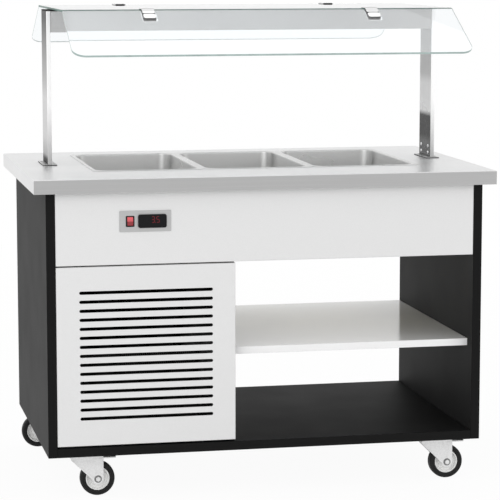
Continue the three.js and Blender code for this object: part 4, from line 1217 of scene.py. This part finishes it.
class SALADBAR_OT_clamps(bpy.types.Operator):
    """Bright clamps that hold the sloped panes to the top pane"""
    bl_idname = "saladbar.clamps"
    bl_label = "Glass clamps"

    def execute(self, context):
        low, high = span("glass_top")
        z, half = (low.z + high.z) / 2, (high.z - low.z) / 2
        for end, turn in ENDS:
            edge = low.y if end == "front" else high.y
            for side in ("left", "right"):
                node = f"clamp_{end}_{side}"
                clamp_low, clamp_high = span(node)
                x, width = middle(clamp_low, clamp_high).x, clamp_high.x - clamp_low.x
                self.add_clamp(node, at(x, edge, z) @ turn, width, half)
        return {"FINISHED"}

    def bent_plate(self, bm, width, near, far, inner, outer):
        """A rounded plate from v = near to v = far, bent down where it passes the joint."""
        sizes = settings("guard")
        bend, corner = -sizes.joint / 2, sizes.clamp_corner
        ease = 0.0008 if outer > inner else -0.0008
        reach = near - far
        before = set(bm.verts)
        stack(bm, [
            (width, reach, corner, inner),
            (width, reach, corner, outer - ease),
            (width - 0.0005, reach - 0.0005, corner - 0.0002, outer - ease / 4),
            (width - 0.0016, reach - 0.0016, corner - 0.0008, outer),
        ], Matrix.Translation((0, (near + far) / 2, 0)), steps=6)
        made = new_verts(bm, before)
        faces = list({face for vert in made for face in vert.link_faces})
        edges = list({edge for vert in made for edge in vert.link_edges})
        bmesh.ops.bisect_plane(bm, geom=made + edges + faces, dist=MERGE,
                               plane_co=(0, bend, 0), plane_no=(0, 1, 0))
        beyond = [vert for vert in new_verts(bm, before) if vert.co.y < bend - 1e-5]
        bmesh.ops.rotate(bm, cent=(0, bend, 0), verts=beyond,
                         matrix=Matrix.Rotation(sizes.wing_angle, 3, "X"))

    def add_clamp(self, node, place, width, half):
        """Plates above and below the glass on rubber pads, with a web between the panes."""
        sizes = settings("guard")
        pad, face, outer = half + 0.0002, half + 0.001, half + 0.0003 + sizes.clamp_plate
        near, edge = sizes.clamp_top, -sizes.joint
        narrow, split, tip = width - 0.008, edge - sizes.clamp_split, edge - sizes.clamp_leaf
        bm = bmesh.new()
        self.bent_plate(bm, narrow, near - 0.004, split, face, outer)
        self.bent_plate(bm, narrow, split - sizes.clamp_groove, tip, face, outer)
        self.bent_plate(bm, width, near, edge - sizes.clamp_wing, -face, -outer)
        web = narrow / 2 - 0.001
        box(bm, (-web, edge + 0.0006, 0.001 - outer), (web, -0.0006, outer - 0.001), 0.0003)
        bmesh.ops.transform(bm, matrix=place, verts=bm.verts)
        add_piece(bm, node + "_plates", "chrome", [node])
        bm = bmesh.new()
        for level, skin in ((pad, face - 0.0001), (-pad, 0.0001 - face)):
            self.bent_plate(bm, narrow + 0.001, near - 0.0035, tip - 0.003, level, skin)
        # A dark rubber lip at the pads' inner end: partly a folded pad, partly painted shade that
        # darkens the clamps' inner ends.
        lip = narrow / 2 - 0.004
        box(bm, (-lip, near - 0.0038, pad), (lip, near - 0.002, outer - 0.0006), 0.0004)
        bmesh.ops.transform(bm, matrix=place, verts=bm.verts)
        add_piece(bm, node + "_pads", "rubber")


# ---- Refrigeration unit ----------------------------------------------------------------------


class SALADBAR_OT_unit(bpy.types.Operator):
    """Compressor, condenser, fan motor and fan"""
    bl_idname = "saladbar.unit"
    bl_label = "Refrigeration unit"

    def execute(self, context):
        self.add_compressor()
        self.add_condenser()
        self.add_fan()
        return {"FINISHED"}

    def add_compressor(self):
        """A domed shell with a seam and a terminal box, on a foot plate with four bolts."""
        low, high = span("compressor")
        size_u, size_v, tall = high - low
        radius, foot, dome, steps, bolt = 0.078, 0.008, 0.03, 8, 0.014
        base = at((low.x + high.x) / 2, (low.y + high.y) / 2, low.z)
        bm = bmesh.new()
        stack(bm, [(size_u - 0.001, size_v - 0.001, 0.0195, 0), (size_u, size_v, 0.02, 0.0006),
                   (size_u, size_v, 0.02, foot - 0.0016),
                   (size_u - 0.0008, size_v - 0.0008, 0.0196, foot - 0.0006),
                   (size_u - 0.003, size_v - 0.003, 0.0185, foot)], base, steps=8)
        seam, shell = tall * 0.55, radius - 0.0015
        profile = [(0, foot - 0.002), (radius - 0.012, foot - 0.002),
                   (radius - 0.004, foot + 0.006), (shell, foot + 0.016), (shell, seam - 0.002),
                   (radius, seam - 0.0012), (radius, seam + 0.0012), (shell, seam + 0.002),
                   (shell, tall - dome)]
        for step in range(1, steps + 1):
            angle = QUARTER * step / steps
            profile.append((shell * math.cos(angle) if step < steps else 0,
                            tall - dome + dome * math.sin(angle)))
        turned(bm, profile, base, steps=56)
        box(bm, (-0.026, -radius - 0.006, 0.06), (0.026, 0.012 - radius, 0.115), 0.003, 3,
            place=base)
        for u, v in CORNERS:
            spot = Matrix.Translation((u * (size_u / 2 - bolt), v * (size_v / 2 - bolt), foot))
            hexagon(bm, base @ spot, 0.006, 0.005)
        add_piece(bm, "compressor_shell", "enamel", ["compressor"])

    def add_condenser(self):
        """Fins between two end plates, with the tubes through them."""
        fins, fin_sheet, end_sheet, margin = 56, 0.0006, 0.0016, 0.002
        rows, shares, tube_radius, tube_end = 9, (0.3, 0.7), 0.0045, 0.001
        low, high = span("condenser")
        size = high - low
        bm = bmesh.new()
        for index in range(fins):
            x = low.x + margin + (size.x - 2 * margin - fin_sheet) * index / (fins - 1)
            box(bm, (x, low.y + margin, low.z + margin),
                (x + fin_sheet, high.y - margin, high.z - margin))
        # The black fins, ends and tubes are partly a real coating and partly painted shade behind
        # the slots.
        add_piece(bm, "condenser_fins", "fin black", ["condenser"])
        bm = bmesh.new()
        for x in (low.x, high.x - end_sheet):
            box(bm, (x, low.y, low.z), (x + end_sheet, high.y, high.z), 0.0004)
        add_piece(bm, "condenser_ends", "fin black")
        bm = bmesh.new()
        for row in range(rows):
            for share in shares:
                place = at(low.x + tube_end, low.y + size.y * share,
                           low.z + size.z * (row + 0.5) / rows, RIGHT)
                rod(bm, place, tube_radius, 0, size.x - 2 * tube_end, 14)
        add_piece(bm, "condenser_tubes", "fin black")

    def add_fan(self):
        """The fan's motor on its bracket, and the fan on the motor's shaft."""
        low, high = span("fan_motor")
        hub = middle(*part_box("fan_blade"))
        # The bracket: a cross bar held off the condenser by two arms with feet.
        sheet, half_tall, foot, arm = 0.003, 0.012, 0.01, 0.0677
        cross = low.y + arm
        bottom, top, back = hub.z - half_tall, hub.z + half_tall, cross + sheet
        left, right = low.x + foot, high.x - foot
        bm = bmesh.new()
        for x in (left, right):
            box(bm, (x - sheet / 2, low.y, bottom), (x + sheet / 2, back, top), 0.0006)
            box(bm, (x - foot, low.y, bottom), (x + foot, low.y + sheet, top), 0.0006)
        box(bm, (left, cross, bottom), (right, back, top), 0.0006)
        radius, end = 0.042, cross - high.y
        turned(bm, [(0, 0), (radius * 0.55, 0), (radius * 0.8, -0.002), (radius * 0.95, -0.006),
                    (radius, -0.012), (radius, -0.024), (radius - 0.002, -0.025),
                    (radius - 0.002, -0.027), (radius, -0.028), (radius, end + 0.003),
                    (radius - 0.003, end), (0, end)], at(hub.x, high.y, hub.z, REAR), steps=40)
        turned(bm, [(0, 0), (0.004, 0), (0.004, 0.036), (0.0035, 0.0365), (0, 0.0365)],
               at(hub.x, cross, hub.z, FRONT), steps=16)
        add_piece(bm, "fan_motor_body", "enamel", ["fan_motor"])

        blades, half_deep, bore, boss = 5, 0.012, 0.0046, 0.02
        root, reach, chord, tip_radius = 0.017, 0.094, 0.056, 0.1105
        steepest, untwist, narrowest, widening, camber = 38, 16, 0.72, 0.28, 0.05
        centre = at(*hub, FRONT)
        bm = bmesh.new()
        turned(bm, [(0, 0.006), (0.012, 0.006), (boss - 0.002, half_deep - 0.002),
                    (boss, half_deep - 0.005), (boss, -half_deep), (bore, -half_deep),
                    (bore, -0.002), (0, -0.002)], centre, steps=32)
        for index in range(blades):
            before = set(bm.verts)
            grid = bmesh.ops.create_grid(bm, x_segments=8, y_segments=6, size=0.5)["verts"]
            bmesh.ops.scale(bm, vec=(reach, chord, 1), verts=grid)
            bmesh.ops.translate(bm, vec=(root + reach / 2, 0, 0), verts=grid)
            for vert in grid:
                out = (vert.co.x - root) / reach
                pitch = math.radians(steepest - untwist * out)
                across = vert.co.y * (narrowest + widening * out)
                vert.co = Vector((min(vert.co.x, math.sqrt(tip_radius ** 2 - across ** 2)),
                                  across * math.cos(pitch),
                                  across * math.sin(pitch) + camber * across ** 2 / chord))
            faces = list({face for vert in grid for face in vert.link_faces})
            bmesh.ops.solidify(bm, geom=faces, thickness=0.0015)
            turn = Matrix.Rotation(FULL_TURN * index / blades, 4, "Z")
            bmesh.ops.transform(bm, matrix=centre @ turn, verts=new_verts(bm, before))
        add_piece(bm, "fan_blades", "aluminium", ["fan_blade"])


# ---- Casters ---------------------------------------------------------------------------------

# Each caster, and the turn about its swivel axis in which its wheel trails outwards.
CASTERS = (("front_left", 0.0), ("front_right", 0.0), ("rear_left", math.pi),
           ("rear_right", math.pi))
CHEEKS = ((-1, FRONT), (1, REAR))


def both_halves(side):
    """A closed profile from the half of it above w = 0."""
    return side + [(radius, -level) for radius, level in reversed(side)]


class SALADBAR_OT_casters(bpy.types.Operator):
    """Four swivel casters: plates, forks, wheels and two brake pedals"""
    bl_idname = "saladbar.casters"
    bl_label = "Casters"

    def execute(self, context):
        for label, turn in CASTERS:
            low, high = span("caster_plate_" + label)
            x, y, _ = middle(low, high)
            place = at(x, y, high.z) @ Matrix.Rotation(turn, 4, "Z")
            self.add_plate(label, at(x, y, high.z), high - low)
            self.add_fork(label, place)
            self.add_wheel(label)
            if label.startswith("front"):
                self.add_pedal(label, place)
        return {"FINISHED"}

    def add_plate(self, label, place, size):
        """Top plate with four slots and bolts, the ball race and the kingpin."""
        sheet, bolt_u, bolt_v, pin = 0.003, 0.034, 0.027, 0.006
        slots = [moved(slot_outline(0.012, 0.0086, 4), u * bolt_u, v * bolt_v)
                 for u, v in CORNERS]
        bm = bmesh.new()
        flat_plate(bm, rounded(size.x, size.y, 0.009, 6), slots, sheet, place)
        race = [(0, 0.0005), (0.0285, 0.0005), (0.028, -0.0012), (0.0265, -0.0028),
                (0.0265, -0.0036), (0.028, -0.0044), (0.0278, -0.005), (0, -0.005)]
        turned(bm, moved(race, 0, -sheet), place, steps=40)
        foot = moved([(pin, 0.004), (0.01, 0.004), (0.01, 0.0022), (0.0086, 0.0008),
                      (0.0055, 0), (0, 0)], 0, -size.z)
        turned(bm, [(0, -sheet), (pin, -sheet), *foot], place, steps=28)
        for u, v in CORNERS:
            spot = place @ at(u * bolt_u, v * bolt_v, -sheet - 0.0002, UNDER)
            rod(bm, spot, 0.0068, 0, 0.0009, 20)
            hexagon(bm, spot @ Matrix.Translation((0, 0, 0.0008)), 0.0052, 0.0036)
        add_piece(bm, f"caster_{label}_top_plate", "zinc",
                  ["caster_plate_" + label])

    def add_fork(self, label, place):
        """Pressed fork: a crown, two cheeks with a rib and a lip, and the axle with its heads."""
        sizes = settings("casters")
        sheet, front, behind, trail = (sizes.cheek_sheet, sizes.front_reach, sizes.behind_axle,
                                       sizes.trail)
        low, high = span("caster_fork_" + label)
        top = high.z - place.translation.z
        axle = middle(*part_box("wheel_tyre_" + label)).z - place.translation.z
        head, back = 0.005, trail + behind
        half = (high.y - low.y) / 2 - head
        bm = bmesh.new()
        crown = rounded(front + back, 2 * half - 0.001, 0.004, 4)
        kingpin = moved(arc(0, 0, 0.0064, 0, FULL_TURN * 23 / 24, 23), (front - back) / 2, 0)
        flat_plate(bm, crown, [kingpin], sheet, place @ at((back - front) / 2, 0, top),
                   edge=0.0006)
        cheek = [(0.004 - front, top - 0.0006), (-front, top - 0.005),
                 (0.001 - front, top - 0.011),
                 *arc(trail, axle, behind, math.pi + 0.15, FULL_TURN, 18),
                 (back, top - 0.005), (back - 0.003, top - 0.0006)]
        pedal_pin = moved(arc(0, 0, 0.0024, 0, FULL_TURN * 11 / 12, 11), back - 0.008,
                          top - sheet - 0.008)
        for level in (-half, half - sheet):
            flat_plate(bm, cheek, [pedal_pin], sheet, place @ at(0, level, 0, FRONT),
                       edge=0.0007)
        rib = [(trail - 0.013, top - 0.007), (trail + 0.0005, axle + 0.013),
               (back - 0.003, top - 0.018), (back - 0.003, top - 0.007)]
        lip = [(0.0015 - front, top - 0.011), (0.004 - front, top - 0.0105),
               (trail - behind + 0.005, axle + 0.0035), (trail - behind + 0.0026, axle + 0.002)]
        for outline in (rib, lip):
            for level in (-half - 0.0009, half - 0.0002):
                flat_plate(bm, outline[::-1], [], 0.0011, place @ at(0, level, 0, FRONT),
                           edge=0.0004)
        rod(bm, place @ at(trail, 0, axle, FRONT), 0.006, 0.001 - half, half - 0.001, 24)
        ends = [place @ at(trail, side * half, axle, facing) for side, facing in CHEEKS]
        for end in ends:
            hexagon(bm, end @ Matrix.Translation((0, 0, 0.001)), sizes.axle_head - 0.0018,
                    head - 0.0012)
        add_piece(bm, f"caster_{label}_fork", "zinc", ["caster_fork_" + label])
        bm = bmesh.new()
        for end in ends:
            turned(bm, [(0, 0.0002), (0.0108, 0.0002), (0.0108, 0.001), (0.0100, 0.0014),
                        (0, 0.0014)], end, steps=28)
        add_piece(bm, f"caster_{label}_washers", "bolt steel",
                  body="swivel_" + label)

    def add_wheel(self, label):
        """Light plastic centre with stepped rings, and a rubber tyre with round shoulders."""
        sizes = settings("casters")
        low, high = span("wheel_tyre_" + label)
        place = at(*middle(low, high), FRONT)
        radius, half, rim = (high.z - low.z) / 2, (high.y - low.y) / 2, sizes.rim_radius
        shoulder = sizes.tyre_shoulder
        side = [(rim + 0.0003, half - 0.0022), (rim + 0.0016, half - 0.0008),
                (rim + 0.003, half), (rim + 0.0062, half), (rim + 0.0068, half - 0.0007),
                (rim + 0.0076, half - 0.0007), (rim + 0.0082, half),
                *reversed(arc(radius - shoulder - 0.0004, half - shoulder, shoulder, 0, QUARTER,
                              5)),
                (radius, half - shoulder - 0.003)]
        bm = bmesh.new()
        turned(bm, both_halves(side), place, sizes.steps, closed=True)
        add_piece(bm, f"caster_{label}_tyre", "tyre", ["wheel_tyre_" + label])

        bore, hub, hub_half, web, lip = 0.0064, 0.013, 0.017, 0.004, half - 0.003
        side = [(bore, hub_half), (hub - 0.001, hub_half), (hub, hub_half - 0.001),
                (hub + 0.0008, web + 0.003), (hub + 0.003, web + 0.001), (hub + 0.005, web),
                (0.021, web), (0.0215, web + 0.0012), (0.0235, web + 0.0012), (0.024, web),
                (rim - 0.0075, web), (rim - 0.0055, web + 0.001), (rim - 0.0045, web + 0.004),
                (rim - 0.004, lip - 0.001), (rim - 0.0032, lip), (rim - 0.0006, lip),
                (rim, lip - 0.0006)]
        bm = bmesh.new()
        turned(bm, both_halves(side), place, sizes.steps, closed=True)
        add_piece(bm, f"caster_{label}_wheel_centre", "wheel grey",
                  ["wheel_rim_" + label])

    def add_pedal(self, label, place):
        """Brake pedal with its eye on the pin and a ribbed black tread."""
        node = "brake_pedal_" + label
        low, high = span(node)
        eye, eye_half, pin, sheet, reach = 0.0045, 0.019, 0.002, 0.004, 0.045
        ribs, rib_pitch, rib_wide = 4, 0.0032, 0.0016
        half = (high.y - low.y) / 2
        x = high.x - place.translation.x - reach - 0.001
        y = middle(low, high).y - place.translation.y
        z = low.z - place.translation.z + eye
        bm = bmesh.new()
        turned(bm, [(0, -half), (pin, -half), (pin, 0.0003 - eye_half),
                    (eye - 0.0005, 0.0003 - eye_half), (eye, 0.0008 - eye_half),
                    (eye, eye_half - 0.0008), (eye - 0.0005, eye_half - 0.0003),
                    (pin, eye_half - 0.0003), (pin, half), (0, half)],
               place @ at(x, y, z, FRONT), steps=24)
        top, wide = z + eye, 0.015
        box(bm, (x, -wide, top - sheet), (x + reach, wide, top), 0.0012, 3, place=place)
        add_piece(bm, f"caster_{label}_pedal", "zinc", [node])
        bm = bmesh.new()
        box(bm, (x + 0.033, 0.0005 - wide, top + 0.0001),
            (x + reach - 0.0005, wide - 0.0005, top + 0.0014), 0.0006, place=place)
        for index in range(ribs):
            rib = x + 0.0337 + index * rib_pitch
            box(bm, (rib, 0.002 - wide, top + 0.001),
                (rib + rib_wide, wide - 0.002, top + 0.002), 0.0003, place=place)
        add_piece(bm, f"caster_{label}_tread", "black plastic",
                  body="pedal_" + label)


# ---- Stage -----------------------------------------------------------------------------------

WHITE = (1.0, 1.0, 1.0, 1.0)
LOOKED_AT = (0.0, 0.0, 0.7)
LAMP_SIZE = 3.0
LAMP_PLACES = {"key": (-3.0, -4.2, 2.6), "fill": (3.6, -3.6, 1.6), "top": (0.2, 0.4, 4.2)}
SENSOR_WIDTH = 36.0     # in millimetres
FARTHEST_SEEN = 200.0


def soft_lamp(name, place, power):
    """A square lamp that is turned to the object."""
    data = bpy.data.lights.new(name, "AREA")
    data.shape = "SQUARE"
    data.size = LAMP_SIZE
    data.energy = power
    lamp = bpy.data.objects.new(name, data)
    lamp.location = place
    lamp.rotation_euler = (Vector(LOOKED_AT) - Vector(place)).to_track_quat("-Z", "Y").to_euler()
    bpy.context.scene.collection.objects.link(lamp)


def seen_directly(tree):
    """1 for rays from the camera and for those that a mirror or glass sends on."""
    path = add_node(tree, "LightPath", {})
    result = path.outputs["Is Camera Ray"]
    for other in ("Is Glossy Ray", "Is Transmission Ray"):
        larger = add_node(tree, "Math", {0: result, 1: path.outputs[other]}, operation="MAXIMUM")
        result = larger.outputs[0]
    return result


class SALADBAR_OT_stage(bpy.types.Operator):
    """Camera, soft lamps, white surroundings and a pale floor"""
    bl_idname = "saladbar.stage"
    bl_label = "Stage"

    def execute(self, context):
        sizes = settings("stage")
        scene = context.scene
        scene.view_settings.view_transform = "Standard"
        camera = bpy.data.objects.new("camera", bpy.data.cameras.new("camera"))
        camera.location = sizes.camera_place
        camera.rotation_euler = (QUARTER - sizes.camera_pitch, 0.0, -sizes.camera_yaw)
        camera.data.sensor_width = SENSOR_WIDTH
        camera.data.lens = sizes.camera_lens
        camera.data.clip_end = FARTHEST_SEEN
        scene.collection.objects.link(camera)
        scene.camera = camera
        for lamp, place in LAMP_PLACES.items():
            soft_lamp(lamp + "_lamp", place, getattr(sizes, lamp + "_power"))
        self.light_world(scene, sizes.ambient)
        self.lay_floor(sizes)
        return {"FINISHED"}

    def light_world(self, scene, ambient):
        """An even light on the object, in surroundings that look white."""
        scene.world = bpy.data.worlds.new("surroundings")
        scene.world.use_nodes = True
        tree = scene.world.node_tree
        light = tree.nodes["Background"]
        light.inputs["Strength"].default_value = ambient
        light.inputs["Color"].default_value = WHITE
        white = add_node(tree, "Background", {"Color": WHITE, "Strength": 1.0})
        mix = add_node(tree, "MixShader",
                       {0: seen_directly(tree), 1: light.outputs[0], 2: white.outputs[0]})
        tree.links.new(mix.outputs[0], tree.nodes["World Output"].inputs["Surface"])

    def lay_floor(self, sizes):
        """A pale floor that takes shadows near the object and turns plain white further out."""
        bm = bmesh.new()
        bmesh.ops.create_grid(bm, x_segments=1, y_segments=1, size=sizes.floor_size / 2)
        mesh = bpy.data.meshes.new("floor")
        bm.to_mesh(mesh)
        bm.free()
        floor = bpy.data.objects.new("floor", mesh)
        bpy.context.scene.collection.objects.link(floor)
        material = surface("pale floor", tuple(sizes.floor_colour), 0.9, grain=3, shade=0.004,
                           spread=0.03)
        mesh.materials.append(material)
        tree = material.node_tree
        place = add_node(tree, "TexCoord", {}).outputs["Object"]
        away = add_node(tree, "VectorMath", {0: place}, operation="LENGTH")
        fade = remapped(tree, away.outputs["Value"], sizes.floor_glow, 1.0, 1.0,
                        sizes.floor_fade)
        share = add_node(tree, "Math", {0: seen_directly(tree), 1: fade}, operation="MULTIPLY")
        glow = add_node(tree, "Emission", {"Color": WHITE})
        mix = add_node(tree, "MixShader", {0: share.outputs[0],
                                           1: tree.nodes["Principled BSDF"].outputs[0],
                                           2: glow.outputs[0]})
        tree.links.new(mix.outputs[0], tree.nodes["Material Output"].inputs["Surface"])


# ---- Panel and registration ------------------------------------------------------------------

GROUPS = {
    "stage": SALADBAR_PG_stage,
    "colours": SALADBAR_PG_colours,
    "cabinet": SALADBAR_PG_cabinet,
    "well": SALADBAR_PG_well,
    "guard": SALADBAR_PG_guard,
    "controls": SALADBAR_PG_controls,
    "casters": SALADBAR_PG_casters,
}

STEPS = (
    SALADBAR_OT_stage,
    SALADBAR_OT_boards,
    SALADBAR_OT_panels,
    SALADBAR_OT_controls,
    SALADBAR_OT_inlet,
    SALADBAR_OT_worktop,
    SALADBAR_OT_well,
    SALADBAR_OT_pans,
    SALADBAR_OT_posts,
    SALADBAR_OT_beam,
    SALADBAR_OT_glass,
    SALADBAR_OT_clamps,
    SALADBAR_OT_unit,
    SALADBAR_OT_casters,
)


class SALADBAR_PT_sidebar(bpy.types.Panel):
    """Lists the steps that build the salad bar and the sizes and colours that they use"""
    bl_idname = "SALADBAR_PT_sidebar"
    bl_label = "Salad bar"
    bl_space_type = "VIEW_3D"
    bl_region_type = "UI"
    bl_category = "Salad bar"

    def draw(self, context):
        for step in STEPS:
            self.layout.operator(step.bl_idname)
        for name, group in GROUPS.items():
            part = self.layout.box()
            part.label(text=group.__doc__)
            for key in group.__annotations__:
                part.prop(settings(name), key)


def register():
    for name, group in GROUPS.items():
        bpy.utils.register_class(group)
        setattr(bpy.types.Scene, "saladbar_" + name, PointerProperty(type=group))
    for step in STEPS:
        bpy.utils.register_class(step)
    bpy.utils.register_class(SALADBAR_PT_sidebar)


def unregister():
    bpy.utils.unregister_class(SALADBAR_PT_sidebar)
    for step in reversed(STEPS):
        bpy.utils.unregister_class(step)
    for name, group in reversed(GROUPS.items()):
        delattr(bpy.types.Scene, "saladbar_" + name)
        bpy.utils.unregister_class(group)


def main():
    register()
    for step in STEPS:
        group, name = step.bl_idname.split(".")
        getattr(getattr(bpy.ops, group), name)()


if __name__ == "__main__":
    main()
